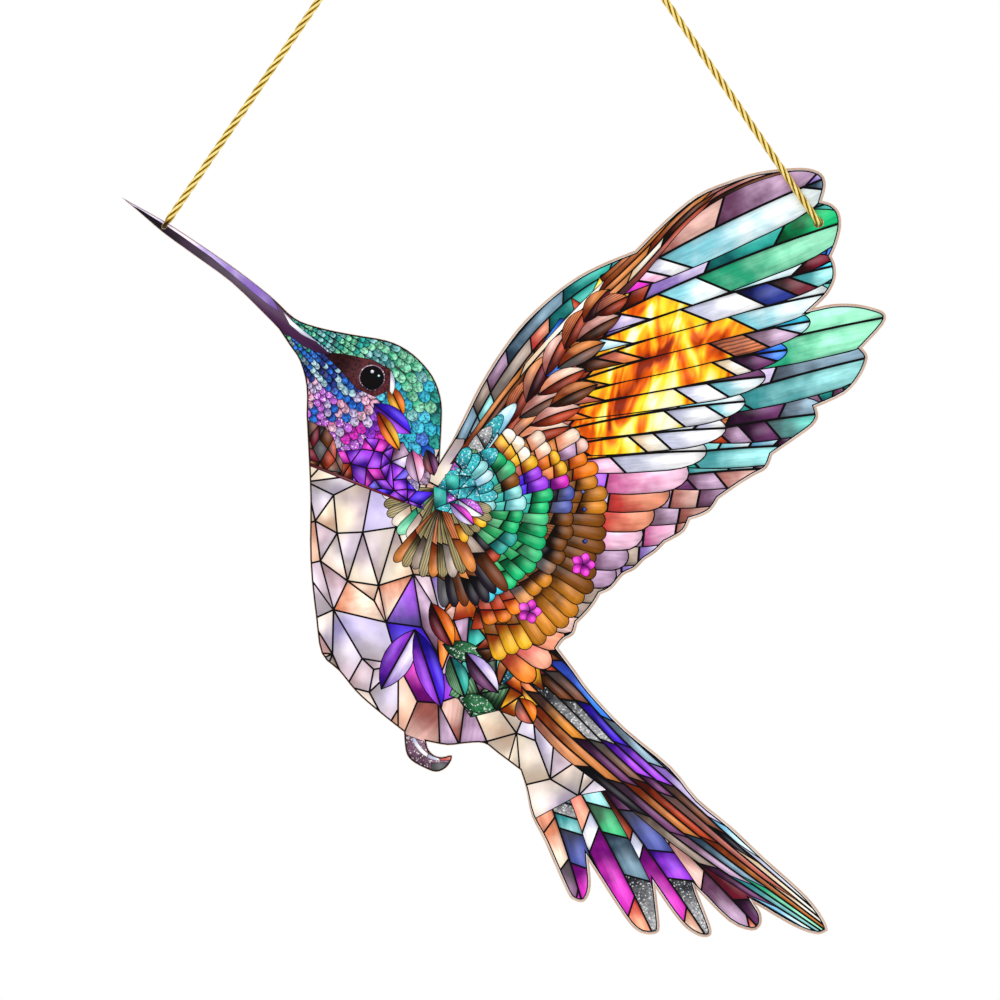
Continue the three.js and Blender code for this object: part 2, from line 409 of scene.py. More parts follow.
cord = twisted_piece("gold_cord", cord_line, map(cord_width, cord_line), CORD_FULLNESS * CORD_DIAMETER)
wing_knot = tied_knot("cord_knot_wing", wing_hole, "wing_knot")
bill_knot = tied_knot("cord_knot_bill", bill_hole, "bill_knot")
for piece, node in ((cord, "hanging_cord"), (wing_knot, "wing_knot"), (bill_knot, "bill_knot")):
    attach(piece, "root")
    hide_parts(node)
tuple(cord_line[0])
[tuple(p) for p in cord_line]
print("cord faces:", len(cord.data.polygons), "knot faces:", len(wing_knot.data.polygons))

# %% [markdown]
# ## The clear sheet
#
# The sheet is cast acrylic, cut by laser, which leaves a slightly frosted wall and a small rounded
# edge. The wall and the rounding are painted a warm pale tan, warmer in stretches at random: painted
# glint and shade that stand in for how the clear cut edge looks, a pale line all round. The frame's
# sheet gives the outline. Four rings of corners, the two outer ones moved in a little, are joined by
# walls, and the two faces are filled with triangles. The rounding follows the clear rim that the
# print leaves: wide at the wings and the tail, and narrow elsewhere.

# %% Read the sheet's outline from the frame
SAME_PLACE = 0.001  # mm; corners closer than this are one
FINEST = 0.00001  # mm; the finest difference that the triangles are worked out to


def signed_area(points):
    """The area of a closed outline, above nought where it runs anticlockwise."""
    return sum(a.x * b.y - b.x * a.y for a, b in zip(points, points[1:] + points[:1])) / 2


def anticlockwise(points):
    """The points of a closed outline in the order that keeps its inside on the left."""
    return points if signed_area(points) > 0 else points[::-1]


def front_loops():
    """The closed edges of the sheet's front face in X and Z, the outline first, then the holes."""
    sheet = bmesh.new()
    sheet.from_mesh(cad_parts["acrylic_panel"].data)
    bmesh.ops.remove_doubles(sheet, verts=sheet.verts, dist=SAME_PLACE * MM)
    following = {}
    for face in (f for f in sheet.faces if f.normal.y < -0.9):
        for corner in face.loops:
            if corner.link_loop_radial_next.face.normal.y > -0.9:
                following[corner.vert.index] = corner.link_loop_next.vert.index
    places = [v.co.xz for v in sheet.verts]
    sheet.free()
    loops = []
    while following:
        first = at = next(iter(following))
        loop = []
        while at in following:
            loop.append(places[at])
            at = following.pop(at)
        loops.append(anticlockwise(loop))
    return sorted(loops, key=lambda loop: -signed_area(loop))


outline, *holes = front_loops()
print(f"outline of {len(outline)} points, {abs(signed_area(outline)) * 1e4:.0f} cm2, and {len(holes)} holes")

# %% Move an outline inwards
LONGEST_MITRE = 0.12  # keeps the corner of a sharp point from running far inwards
BILL_TIP = Vector((-96.9, -112.8))  # the drawing's places are in mm from here
WIDE_RIM, NARROW_RIM = 0.66, 0.14  # the clear rim outside the print, in mm
RIM_CHANGE = 6  # mm over which it goes from narrow to wide
WING_RIM, TAIL_RIM, TAIL_BELOW = 84, 104, -124  # where that begins, and where the tail begins


def inset(points, depth):
    """Moves an anticlockwise outline inwards by depth, one number or one for each point."""
    depths = depth if hasattr(depth, "__len__") else [depth] * len(points)
    moved = []
    for k, place in enumerate(points):
        into = (place - points[k - 1]).normalized()
        out = (points[(k + 1) % len(points)] - place).normalized()
        moved.append(place + leftwards(into + out) * depths[k] / max(1 + into.dot(out), LONGEST_MITRE))
    return moved


def to_drawing(place):
    """A place in the object's plane as one of the drawing, in mm from the bill's tip."""
    return place / MM - BILL_TIP


def rim_at(place):
    """The clear rim's width: wide at the wings and the tail, narrow at the head and the body."""
    start = TAIL_RIM if place.y < TAIL_BELOW else WING_RIM
    return NARROW_RIM + (WIDE_RIM - NARROW_RIM) * ease((place.x - start) / RIM_CHANGE)


drawn_outline = [to_drawing(p) for p in outline]
rims = [rim_at(p) for p in drawn_outline]
print(f"clear rim from {min(rims):.2f} to {max(rims):.2f} mm")

# %% Build the sheet with its rounded edge
ROUND_SHARE = 0.8  # the rounded part of the clear rim's width
HOLE_ROUND = 0.1 * MM
PAINTED_EDGE_TINT_LENGTH = 9 * MM  # how long the warmer stretches of the painted edge tint are
ACRYLIC_IOR = 1.49


def sheet_piece():
    """The sheet: its two faces, moved in by the rounding, with a wall and two bevels round each edge."""
    loops = [outline] + holes
    depths = [rim * ROUND_SHARE * MM for rim in rims]
    flat = inset(outline, depths) + [p for hole in holes for p in inset(hole, -HOLE_ROUND)]
    depths += [HOLE_ROUND for hole in holes for _ in hole]
    rows = []
    for loop in loops:
        rows.append(list(range(sum(map(len, rows)), sum(map(len, rows)) + len(loop))))
    found, _, triangles, _, _, holders = delaunay_2d_cdt(flat, [], rows, 1, FINEST * MM, True)

    # Four rings of corners: the front face, the wall's two edges, and the back face.
    count = len(flat)
    wall = [p for loop in loops for p in loop]
    rings = [(flat, [PANEL_FRONT] * count), (wall, [PANEL_FRONT + depth for depth in depths]),
             (wall, [PANEL_BACK - depth for depth in depths]), (flat, [PANEL_BACK] * count)]
    verts = [(p.x, y, p.y) for points, heights in rings for p, y in zip(points, heights)]
    faces = [(a + low, a + low + count, b + low + count, b + low) for row in rows
             for a, b in zip(row, row[1:] + row[:1]) for low in (0, count, 2 * count)]
    walls = len(faces)
    first = len(verts)
    verts += [(p.x, y, p.y) for y in (PANEL_FRONT, PANEL_BACK) for p in found]
    for triangle, held in zip(triangles, holders):
        if held == [0]:
            faces.append([v + first for v in triangle])
            faces.append([v + first + len(found) for v in reversed(triangle)])
    mesh = bpy.data.meshes.new("clear_acrylic_sheet")
    mesh.from_pydata(verts, [], faces)
    mesh.materials.append(polished_acrylic)
    mesh.materials.append(cut_acrylic)
    mesh.polygons.foreach_set("material_index", [1] * walls + [0] * (len(faces) - walls))
    fixer = bmesh.new()
    fixer.from_mesh(mesh)
    bmesh.ops.remove_doubles(fixer, verts=fixer.verts, dist=SAME_PLACE * MM)
    bmesh.ops.recalc_face_normals(fixer, faces=fixer.faces)
    fixer.to_mesh(mesh)
    fixer.free()
    return add_object("clear_acrylic_sheet", mesh)


def clear_acrylic():
    """Cast acrylic, polished as it comes from its moulding between two sheets of glass."""
    material, tree = new_material("cast acrylic face")
    shader = add_node(tree, SHADER, {"Base Color": linear("#fbfbfd"), "Roughness": 0.03, "IOR": ACRYLIC_IOR,
                                     "Transmission Weight": 1.0})
    add_node(tree, "ShaderNodeOutputMaterial", {"Surface": shader})
    return material


def laser_cut_edge():
    """The wall that the laser leaves, painted pale tan with warmer stretches at random: painted glint and
    shade of the clear edge.
    """
    material, tree = new_material("laser cut acrylic edge")
    place = add_node(tree, "ShaderNodeTexCoord").outputs["Object"]
    # Painted glint and shade: the clear cut edge is coloured tan, warmer in random stretches.
    painted_edge_tint = add_node(tree, "ShaderNodeTexNoise",
                      {"Vector": place, "Scale": 1 / PAINTED_EDGE_TINT_LENGTH, "Detail": 3.0})
    tint = add_node(tree, "ShaderNodeMix", {"Factor": painted_edge_tint, 6: linear("#e9d3bd"), 7: linear("#a8683c")},
                    data_type="RGBA")
    shader = add_node(tree, SHADER, {"Base Color": tint.outputs[2], "Roughness": 0.3, "IOR": ACRYLIC_IOR,
                                     "Transmission Weight": 0.1})
    add_node(tree, "ShaderNodeOutputMaterial", {"Surface": shader})
    return material


polished_acrylic = clear_acrylic()
cut_acrylic = laser_cut_edge()
sheet = sheet_piece()
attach(sheet, "root")
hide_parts("acrylic_panel")
print("sheet faces:", len(sheet.data.polygons))

# %% [markdown]
# ## The print
#
# The picture is ink, printed flat on the sheet and cured with ultraviolet light. It imitates
# stained glass: black leading round panes of colour. Nothing in it is raised. It is drawn here as
# a painter would, feather over feather, each as a flat outline. The outlines are then cut into
# triangles together, which tells which outline lies on top at each place. So all of it stays in
# one plane, with sharp lines at any size. All places are in millimetres from the bill's tip.

# %% Mix the inks
INKS = {  # an airbrushed blend of two colours each, by the kind of glass that the ink imitates
    "glass": {
        "copper": "#8f3f16 #e09a58", "rust": "#5c1c0c #c4562a", "rose": "#b9776f #ecc6bc",
        "mauve": "#7e5272 #cdb0cc", "plum": "#3a1438 #8a5286", "magenta": "#8c0490 #f750e0",
        "white": "#d4d6ec #ffffff", "cream": "#f2d9b8 #fffaf0", "ice": "#9bdde8 #f4fdff",
        "sky": "#7fc3e4 #dbf6fd", "cyan": "#0c8fc8 #5fe2f6", "blue": "#0c3cae #4c9cf8",
        "navy": "#171f58 #4a5cb4", "indigo": "#260894 #6a36f4", "violet": "#50049c #bc5cf6",
        "lilac": "#a587d2 #ebdffa", "teal": "#0b6a6e #4cc6ba", "emerald": "#036440 #2cd08e",
        "mint": "#3fbf97 #b4fad8", "green": "#0a4630 #3cb878", "slate": "#42586c #9ab8ca",
        "lagoon": "#4aa8ac #b0eaea", "gold": "#a04c04 #ffcb3a", "orange": "#a83404 #ff9c2a",
        "umber": "#241002 #9a641e", "amber": "#4c2204 #e09c34", "peach": "#eda380 #fde6d4",
        "coral": "#dc5854 #fcb496", "pink": "#e07cb4 #fdd6ea", "taupe": "#6f6058 #c0aea2",
        "brown": "#2c1408 #8a5022", "wine": "#1a0a20 #5a2c5c", "maroon": "#3c0c1a #942c48",
        "night": "#08060c #342a3c",
    },
    "flame": {"flame": "#d24a04 #fff04a"},
    "pearl": {
        "pearl": "#86727e #eee0da", "ivory": "#ac8f76 #f4e6d0", "mist": "#6c6094 #dcd2ee",
        "blush": "#bc6648 #f4c2a4",
    },
    "ribbed": {
        "khaki": "#4a4028 #b8aa80", "bark": "#3a1c0c #a87040", "fern": "#20482e #88b890",
        "clay": "#8a3c1c #e09060",
    },
    "glitter": {
        "silver": "#4c4e56 #cacacc", "sea": "#0a6480 #58d8e0", "berry": "#6a189a #e48cf6",
        "moss": "#103f2a #52a874", "dusk": "#5a3450 #c49cb4",
    },
    "scale": {"mask": "#3c161c #7c4248"},
}
GLASSES = list(INKS)
INK_DEPTH = 1.3  # a power above one deepens and purifies every ink, as a thicker coat of it does


def coated(colour):
    """An ink's linear values as they look in a full coat."""
    return [channel ** INK_DEPTH for channel in linear(colour)]


inks = {name: (*map(coated, blend.split()), GLASSES.index(glass))
        for glass, blends in INKS.items() for name, blend in blends.items()}
print(len(inks), "inks of", len(GLASSES), "kinds of glass")

# %% Draw one pane
WING_LINE, TAIL_LINE, BODY_LINE = 0.64, 0.5, 0.5  # widths of the leading, in mm
ROW_LINE, SHOULDER_LINE, HEAD_LINE = 0.42, 0.34, 0.3
LEAST_PANE = 0.15  # a pane whose leading takes more than the rest of its area stays black
LEAST_SIDE, LEAST_AREA = 0.01, 0.02  # mm and mm2; what is smaller is left out
DARKEST, LIGHTEST = -0.25, 0.08  # how far a pane's colours wander to black and to white
WANDER = 0.2  # how far a pane's length wanders
dice = random.Random(SEED)
shapes = []  # every outline that is drawn, the lowest first


def mixed(first, second, share):
    """A colour that is some share of the way from one to another."""
    return [a + (b - a) * share for a, b in zip(first, second)]


def without_loops(points):
    """Cuts off the small loops where an outline crosses itself, as at a sharp corner moved inwards."""
    start = 0
    while start < len(points) - 2:
        for end in range(start + 2, len(points) - (start == 0)):
            crossing = intersect_line_line_2d(points[start], points[start + 1], points[end],
                                              points[(end + 1) % len(points)])
            if crossing:
                halves = ([crossing] + points[start + 1:end + 1],
                          points[:start + 1] + [crossing] + points[end + 1:])
                points = max(halves, key=signed_area)
                start = -1
                break
        start += 1
    return points


def left_of(points, start, end):
    """The part of an outline that lies to the left of a line."""
    kept = []
    for a, b in zip(points, points[1:] + points[:1]):
        side_a, side_b = ((end - start).cross(p - start) for p in (a, b))
        if side_a >= 0:
            kept.append(a)
        if side_a * side_b < 0:
            kept.append(a.lerp(b, side_a / (side_a - side_b)))
    return kept


def draw(points, ink, line=WING_LINE, along=None, kind=None, edge=None):
    """Draws a pane and the leading round it, over all that is drawn before, on the left of an edge."""
    points = [Vector(p) for p in points]
    points = left_of(points, *edge) if edge else points
    points = [p for k, p in enumerate(points) if (p - points[k - 1]).length > LEAST_SIDE]
    points = without_loops(anticlockwise(points))
    if len(points) < 3 or signed_area(points) < LEAST_AREA:
        return
    shapes.append({"points": points})
    pane = without_loops(inset(points, line / 2))
    if ink == "black" or signed_area(pane) / signed_area(points) < LEAST_PANE:
        return
    root, tip, glass = inks[ink]
    if kind and glass == 0:
        glass = GLASSES.index(kind)
    shade = dice.uniform(DARKEST, LIGHTEST)
    far = [0, 0, 0, 1] if shade < 0 else [1, 1, 1, 1]
    along = Vector(along) if along else points[len(points) // 2] - points[0]
    shapes.append({"points": pane, "glass": glass, "along": along.normalized(),
                   "root": mixed(root, far, abs(shade)), "tip": mixed(tip, far, abs(shade))})


def row_of_panes(names):
    """Reads a row such as "rose mauve:3" into inks, with the shares of the way where each starts and ends."""
    parts = [name.split(":") for name in names.split()]
    sizes = [float(part[1]) if len(part) > 1 else 1.0 for part in parts]
    sizes = [size * dice.uniform(1 - WANDER, 1 + WANDER) for size in sizes]
    ends = [sum(sizes[:k]) / sum(sizes) for k in range(len(sizes) + 1)]
    return [(part[0], low, high) for part, low, high in zip(parts, ends, ends[1:])]

# %% Draw feathers, leaves and lanes
FULLEST = 0.55  # the share of its length at which a feather is fullest
VANE_SLANT, LANE_SLANT = 0.1, 0.035  # how far a pane's end leans, as a share of the length
AT_TIP = 0.99  # a pane that reaches so far is the last one, and its end doesn't lean
FEATHER_STEPS, PANE_STEPS, LEAF_STEPS, LANE_STEPS = 12, 7, 8, 8
LEAF_SWELL = 0.8  # a power under one makes a leaf blunter


def pane_sides(at, low, high, straight, leaning, slant, ways):
    """A pane's two long sides from one share of a row to another. One is moved on, so the ends lean."""
    lean_low, lean_high = (slant if 0 < t < AT_TIP else 0 for t in (low, high))
    moved = [at(low + lean_low + (high + lean_high - low - lean_low) * way, leaning) for way in ways]
    return moved, [at(low + (high - low) * way, straight) for way in ways]


def feather(root, tip, width, left, right=None, bow=0.0, line=WING_LINE, start=0.45, rounding=0.3):
    """One feather of two vanes, or of one, on black. Each vane is a row of panes, from root to tip."""
    root, tip = Vector(root), Vector(tip)
    middle = (root + tip) / 2 + leftwards(tip - root) * bow

    def at(t, side):
        t = min(max(t, 0), 1)
        place = root * (1 - t) ** 2 + middle * 2 * t * (1 - t) + tip * t * t
        along = ((middle - root) * (1 - t) + (tip - middle) * t).normalized()
        body = start + (1 - start) * math.sin(min(t / FULLEST, 1) * math.pi / 2)
        end = math.sqrt(max(0, 1 - max(0, (t - 1 + rounding) / rounding) ** 2))
        return place + leftwards(along) * side * width / 2 * body * end

    def closer_to_tip(count):
        return [1 - (1 - k / count) ** 2 for k in range(count + 1)]

    steps = closer_to_tip(FEATHER_STEPS)
    draw([at(t, 1) for t in steps] + [at(t, -1) for t in reversed(steps)], "black", line)
    vanes = [(left, 0, 1), (right, 0, -1)] if right else [(left, -1, 1)]
    for names, inner, outer in vanes:
        for name, low, high in row_of_panes(names):
            even = [k / PANE_STEPS for k in range(PANE_STEPS + 1)]
            ways = closer_to_tip(PANE_STEPS) if high > AT_TIP else even
            rim, shaft = pane_sides(at, low, high, inner, outer, VANE_SLANT, ways)
            draw(shaft + rim[::-1], name, line, tip - root)


def leaf(root, tip, width, ink, second=None, line=HEAD_LINE, bow=0.0):
    """A leaf that is pointed at both ends, split along its rib if it has two inks."""
    root, tip = Vector(root), Vector(tip)
    across = leftwards(tip - root)
    steps = [k / LEAF_STEPS for k in range(LEAF_STEPS + 1)]
    spine = [root + (tip - root) * t + across * bow * 4 * t * (1 - t) for t in steps]
    swell = [across.normalized() * width / 2 * math.sin(math.pi * t) ** LEAF_SWELL for t in steps]
    upper = [p + s for p, s in zip(spine, swell)]
    lower = [p - s for p, s in zip(spine, swell)]
    halves = ((spine, upper, ink), (spine, lower, second)) if second else ((lower, upper, ink),)
    for near, far, name in halves:
        draw(near + far[-2:0:-1], name, line, tip - root)


def ribbon(upper, lower, lanes, line=WING_LINE, slant=LANE_SLANT):
    """Lanes that follow two lines, which are given by as many places. Each lane is a row of panes."""
    upper, lower = smooth_line(upper, LANE_STEPS), smooth_line(lower, LANE_STEPS)
    last = len(upper) - 1

    def at(t, share):
        place = min(max(t, 0), 1) * last
        k = min(int(place), last - 1)
        high = upper[k].lerp(upper[k + 1], place - k)
        return high.lerp(lower[k].lerp(lower[k + 1], place - k), share)

    draw(upper + lower[::-1], "black", line)
    ways = [k / LANE_STEPS for k in range(LANE_STEPS + 1)]
    for number, names in enumerate(lanes):
        for name, low, high in row_of_panes(names):
            over, under = pane_sides(at, low, high, (number + 1) / len(lanes), number / len(lanes),
                                     slant, ways)
            draw(over + under[::-1], name, line, under[-1] - under[0])


print("feathers, leaves and lanes can be drawn")

# %% Draw shards, scales and fans
CROOKED = 0.34  # how far a shard's corner may lie off its even grid, as a share of the spacing
KITES = 0.4  # the share of the triangles' sides that are left out, to make kites
SPOT_BLUR = 1.5  # mm by which the places of the inks mingle
GRID_FINEST = 0.0001  # mm; the finest difference in the grid of shards
SCALE_STEPS, SCALE_SIDE, SCALE_ROOT = 7, 0.55, 0.8  # where a scale's round end begins, its root's width
FAN_OVERLAP, ROW_OVERLAP = 1.25, 1.16  # how much wider a feather is than its share of the arc
SHORTEST, LONGEST = 0.94, 1.04  # a fan's feathers, as shares of its radius


def within(place, region):
    """Whether a place lies in a region, by counting the edges to its right."""
    inside = False
    for a, b in zip(region, region[1:] + region[:1]):
        if (a[1] > place.y) != (b[1] > place.y):
            if place.x < a[0] + (place.y - a[1]) / (b[1] - a[1]) * (b[0] - a[0]):
                inside = not inside
    return inside


def ink_near(place, spots):
    """An ink of the nearest spot, at random."""
    nearest = min(spots, key=lambda spot: (Vector(spot[0]) - place).length + dice.uniform(0, SPOT_BLUR))
    return dice.choice(nearest[1].split())


def shards(region, across, up, spots, line=BODY_LINE, edge=None):
    """Straight-sided shards over a region: a loose grid of places, joined to triangles and kites."""
    lows = [min(p[k] for p in region) for k in (0, 1)]
    highs = [max(p[k] for p in region) for k in (0, 1)]
    places = []
    for row in range(int((highs[1] - lows[1]) / up) + 2):
        for column in range(int((highs[0] - lows[0]) / across) + 2):
            shift = column + 0.5 * (row % 2) + dice.uniform(-CROOKED, CROOKED)
            rise = row + dice.uniform(-CROOKED, CROOKED)
            places.append(Vector((lows[0] + shift * across, lows[1] + rise * up)))
    found, _, triangles, _, _, _ = delaunay_2d_cdt(places, [], [], 0, GRID_FINEST, True)
    owners = {}
    for number, triangle in enumerate(triangles):
        for a, b in zip(triangle, triangle[1:] + triangle[:1]):
            owners.setdefault(frozenset((a, b)), []).append(number)
    free = set(range(len(triangles)))
    for side, pair in sorted(owners.items(), key=lambda item: sorted(item[0])):
        if len(pair) == 2 and set(pair) <= free and dice.random() < KITES:
            ends = sorted(side)
            tops = [next(v for v in triangles[n] if v not in side) for n in pair]
            kite = [found[v] for v in (ends[0], tops[0], ends[1], tops[1])]
            middle = (kite[0] + kite[2]) / 2
            turns = [(b - a).cross(c - b) for a, b, c in zip(kite, kite[1:] + kite[:1], kite[2:] + kite[:2])]
            if min(turns) > 0 or max(turns) < 0:
                free -= set(pair)
                if within(middle, region):
                    draw(kite, ink_near(middle, spots), line, edge=edge)
    for number in sorted(free):
        corners = [found[v] for v in triangles[number]]
        middle = (corners[0] + corners[1] + corners[2]) / 3
        if within(middle, region):
            draw(corners, ink_near(middle, spots), line, edge=edge)


def scale(place, towards, length, width, ink, edge):
    """One small feather with a rounded end, which lies over those behind it."""
    towards = towards.normalized()
    side = leftwards(towards) * width / 2
    end = []
    for k in range(SCALE_STEPS + 1):
        angle = math.pi * k / SCALE_STEPS
        reach = SCALE_SIDE + (1 - SCALE_SIDE) * math.sin(angle)
        end.append(place + towards * reach * length + side * math.cos(angle))
    root = side * SCALE_ROOT
    draw([place - root] + end[::-1] + [place + root], ink, HEAD_LINE, towards, "scale", edge)


def fan(middle, radius, first, last, count, names, line=SHOULDER_LINE):
    """Feathers spread round a place, from one angle to another in degrees."""
    middle = Vector(middle)
    width = 2 * radius * math.sin(math.radians(abs(last - first)) / count / 2) * FAN_OVERLAP
    for k in range(count):
        towards = heading(math.radians(first + (last - first) * (k + 0.5) / count))
        tip = middle + towards * radius * dice.uniform(SHORTEST, LONGEST)
        feather(middle, tip, width, names[k % len(names)], None, 0.02, line, start=0.35, rounding=0.2)


print("drawing tools are ready")

# %% [markdown]
# ## Drawing the bird
#
# The far wing and the tail lie lowest, then the body, the near wing and the head. Feathers overlap
# as roof tiles do: those nearer the wing's front edge are drawn later.

# %% Draw the far wing
FAR_FEATHERS = [  # root, tip, width, upper vane, lower vane; the lowest feather first
    ((118, -104), (132.8, -100.5), 6, "taupe rose"), ((122, -100), (138.5, -95.5), 7, "mauve lilac"),
    ((125, -95), (145, -91), 7.5, "mauve taupe lilac:2"), ((128, -90), (151, -85.5), 8, "mauve pink rose"),
    ((130, -84), (158.5, -79.5), 9, "plum mauve rose:2"),
    ((135, -79), (165, -75.5), 9.5, "mauve rose mauve:2"),
    ((138, -74), (171, -71), 9.5, "mauve lagoon:2 ice mauve", "plum mauve rose:2"),
    ((140, -68), (177, -65), 10.5, "lagoon:2 ice sky plum", "teal lagoon:3"),
    ((150, -62), (185, -56.5), 11, "clay plum:2 slate:2", "rust mauve plum teal:3"),
    ((150, -55), (198, -41.5), 13, "lagoon lilac:2 slate:4", "teal lagoon:6"),
    ((148, -44), (203, -31), 14.5, "teal mint:5", "slate emerald mint:8"),
]
FAR_GROUND = [
    (84, -74), (96, -40), (140, -4), (206, -24), (206, -44), (186, -66), (160, -86), (120, -112),
    (108, -100),
]
FAR_SPOTS = [((190, -40), "teal slate"), ((180, -62), "slate mauve teal"), ((160, -80), "mauve taupe"),
             ((135, -98), "mauve taupe"), ((120, -30), "slate rust"), ((100, -60), "slate fern")]
shards(FAR_GROUND, 9, 9, FAR_SPOTS)
for row in FAR_FEATHERS:
    feather(*row, bow=0.03)

FAR_EDGE = [(82, -72), (88, -56), (98, -39), (109, -26), (121, -15.5), (140, -6)]
FAR_EDGE_LOW = [(91, -73), (99, -58), (107, -46), (116, -36), (128, -28), (146, -20)]
ribbon(FAR_EDGE, FAR_EDGE_LOW, [
    "rust taupe slate:3 lagoon:2 slate:3 mauve", "slate:2 taupe mauve slate:3 teal:2 lagoon lilac",
    "slate:2 lagoon taupe:2 coral teal:3 pink lagoon", "fern maroon:2 umber rust blue gold cream rust"],
    line=0.45)
print(len(shapes), "outlines so far")

# %% Draw the tail's short feathers
TAIL_FEATHERS = [
    ((136, -160), (167.5, -192), 11.5, "night:2 moss maroon:3 plum:2", "taupe:2 rose:2 mauve:3 coral"),
    ((126, -155), (153.5, -194), 11, "plum navy:2 violet:2 silver:3", "rust:2 white magenta:4 peach:2"),
    ((117, -150), (139.5, -193.5), 11, "lagoon:2 emerald:2 slate:3 silver:3",
     "coral:2 white magenta:4 coral:2"),
    ((108.5, -148), (121, -185.5), 11, "slate:2 silver lagoon navy:2 magenta:3",
     "coral:3 peach:2 plum:2 magenta"),
]
for row in TAIL_FEATHERS:
    feather(*row, bow=0.02, line=TAIL_LINE, start=0.8)

print(len(shapes), "outlines so far")

# %% Draw the body
BODY = [
    (34, -56), (60, -58), (88, -60), (106, -84), (113, -108), (115, -124), (109, -134), (118, -142),
    (131, -154.5), (116, -158), (92, -164), (50, -160), (34, -120),
]
BODY_SPOTS = [
    ((48, -76), "ivory mist ivory"), ((58, -82), "mist ivory mist"), ((68, -86), "pearl ivory mist"),
    ((78, -88), "ivory pearl blush"), ((52, -98), "mist blush mist"), ((62, -96), "pearl mist ivory"),
    ((72, -96), "blush peach ivory"), ((66, -103), "blush peach peach pearl"),
    ((55, -112), "pearl mist blush"), ((60, -120), "pearl taupe mist"), ((78, -102), "lilac violet mist"),
    ((74, -112), "violet lilac mauve"), ((76, -120), "violet indigo violet"),
    ((82, -128), "violet magenta indigo"), ((80, -136), "violet rose"), ((68, -128), "pearl blush mist"),
    ((74, -134), "blush taupe blush"), ((86, -112), "mauve rose orange"), ((90, -119), "moss teal mauve"),
    ((94, -124), "fern plum mauve"), ((98, -116), "gold teal orange"),
    ((102, -122), "teal sea gold orange"), ((106, -128), "orange rust gold"),
    ((93, -132), "moss fern mauve"), ((88, -138), "rose mauve blush"), ((98, -138), "ivory blush ivory"),
    ((108, -140), "ivory mist ivory"), ((118, -150), "ivory mist pearl"), ((104, -110), "rust clay brown"),
]
shards(BODY, 6.8, 11, BODY_SPOTS)

# %% Draw the tail's long lanes and the flank
TAIL_TOP = [(106, -112), (118, -120), (131, -136), (146, -150), (163, -167), (188, -190)]
TAIL_LOW = [(103, -132), (114, -145), (128, -156), (145, -170), (163, -182), (185, -195)]
ribbon(TAIL_TOP, TAIL_LOW, [
    "rust:2 brown:3 coral:2 taupe:3 lilac:3 ivory:4 cream:3", "brown:2 blue:4 slate:3 lilac:4 sky:2 white:5",
    "rust:2 brown:3 indigo:3 violet:3 brown:3 night:2 cream:4",
    "maroon brown:2 silver:3 violet:2 plum rust:5 cream:3",
    "orange silver:4 brown:3 rust:4 copper:6", "orange amber:4 plum:3 copper:4 slate:3 mint:3",
    "gold copper:5 plum:4 mauve:3 lagoon:4", "ivory copper:4 night:3 taupe:4 plum:3 sky:3"],
    line=TAIL_LINE, slant=0.06)
FLANK = [(84, -108), (101, -110), (110, -126), (103, -136), (88, -133), (82, -122)]
shards(FLANK, 5.2, 6.2, BODY_SPOTS)
for row in (
        ((84, -117), (96, -121), 5.5, "moss"), ((88, -131), (98, -134), 5, "moss"),
        ((95, -112), (106, -122), 5, "gold", "teal"), ((99, -128), (104, -117), 5.5, "gold", "sea"),
        ((86, -120), (90, -131), 6, "teal", "fern"), ((90, -119), (99, -130), 6, "lilac", "plum"),
        ((81, -106), (87, -118), 6, "orange", "maroon"), ((68, -129), (77, -113), 8, "violet", "lilac"),
        ((77, -113), (84, -134), 7, "indigo", "violet"), ((104, -131), (108, -138), 6, "orange", "rust")):
    leaf(*row, line=BODY_LINE)
print(len(shapes), "outlines so far")

# %% Draw the near wing's long feathers
LONG_FEATHERS = [  # root, tip, width, upper vane, lower vane; the lowest feather first
    ((96, -114), (108, -127), 6.5, "rust orange:2"), ((99, -113), (112.5, -123), 6.5, "rust coral:2"),
    ((101, -111), (116.2, -117), 7.5, "coral"), ((105, -108), (120, -112), 7.5, "rose"),
    ((108, -104), (123.6, -107.8), 7.5, "taupe"), ((110, -101), (126.4, -103.8), 7.5, "taupe"),
    ((113, -98), (129.8, -99.3), 8, "mauve"), ((116, -94), (133, -94.3), 8, "plum mauve:3"),
    ((118, -89), (136.8, -88.3), 9, "pink"), ((119.5, -84), (139.8, -83.2), 9.5, "peach coral:4"),
    ((120.5, -79.5), (143.8, -77.6), 9.5, "lilac coral:3"),
    ((121, -75), (148.8, -72.2), 10, "violet pink:5"),
    ((114, -70), (153.5, -66.5), 10, "peach flame:2 white:3", "lilac pink:2 white:4"),
    ((112, -66), (158.5, -60.5), 10, "copper flame:4 cream ice:3 white:2", "mauve flame:3 cream white:4"),
    ((112, -62), (163.5, -53.5), 10.5, "rust flame:6 white:2 ice:4", "gold flame:6 white:3 ice:3"),
    ((113, -57), (168.8, -47), 10, "brown flame:6 rust plum:3", "orange flame:6 white:2 ice:4"),
    ((115, -53), (174.5, -40), 10, "bark flame:7 gold magenta clay blue:2", "rust flame:8 cream plum blue:2"),
    ((117, -49), (180.5, -32.5), 11, "rust flame:7 rust navy lilac:2 cyan:3",
     "copper flame:7 clay:2 mauve:2 sky:2"),
    ((119, -44), (186, -25), 11.5, "copper flame:7 orange ice:6", "brown orange flame:6 ice:5"),
    ((121, -39), (189, -17.5), 12, "rust lilac:2 flame:2 gold:2 ice:5 maroon cyan:2",
     "sky flame:5 white:3 navy:2 maroon lagoon:3"),
    ((125, -33), (191, -6), 14.5, "gold rust lilac:3 teal:3 emerald:4", "lilac flame:2 ice:2 mint:8"),
    ((127, -24), (187, 6), 15, "copper:2 rose:4 mauve:5 lilac:2", "magenta pink white ice:8 slate:2"),
]
ARM_GROUND = [
    (92, -66), (104, -52), (118, -30), (136, -14), (180, 10), (189, -2), (188, -13), (178, -27), (150, -60),
    (118, -70), (108, -118), (96, -122), (90, -100),
]
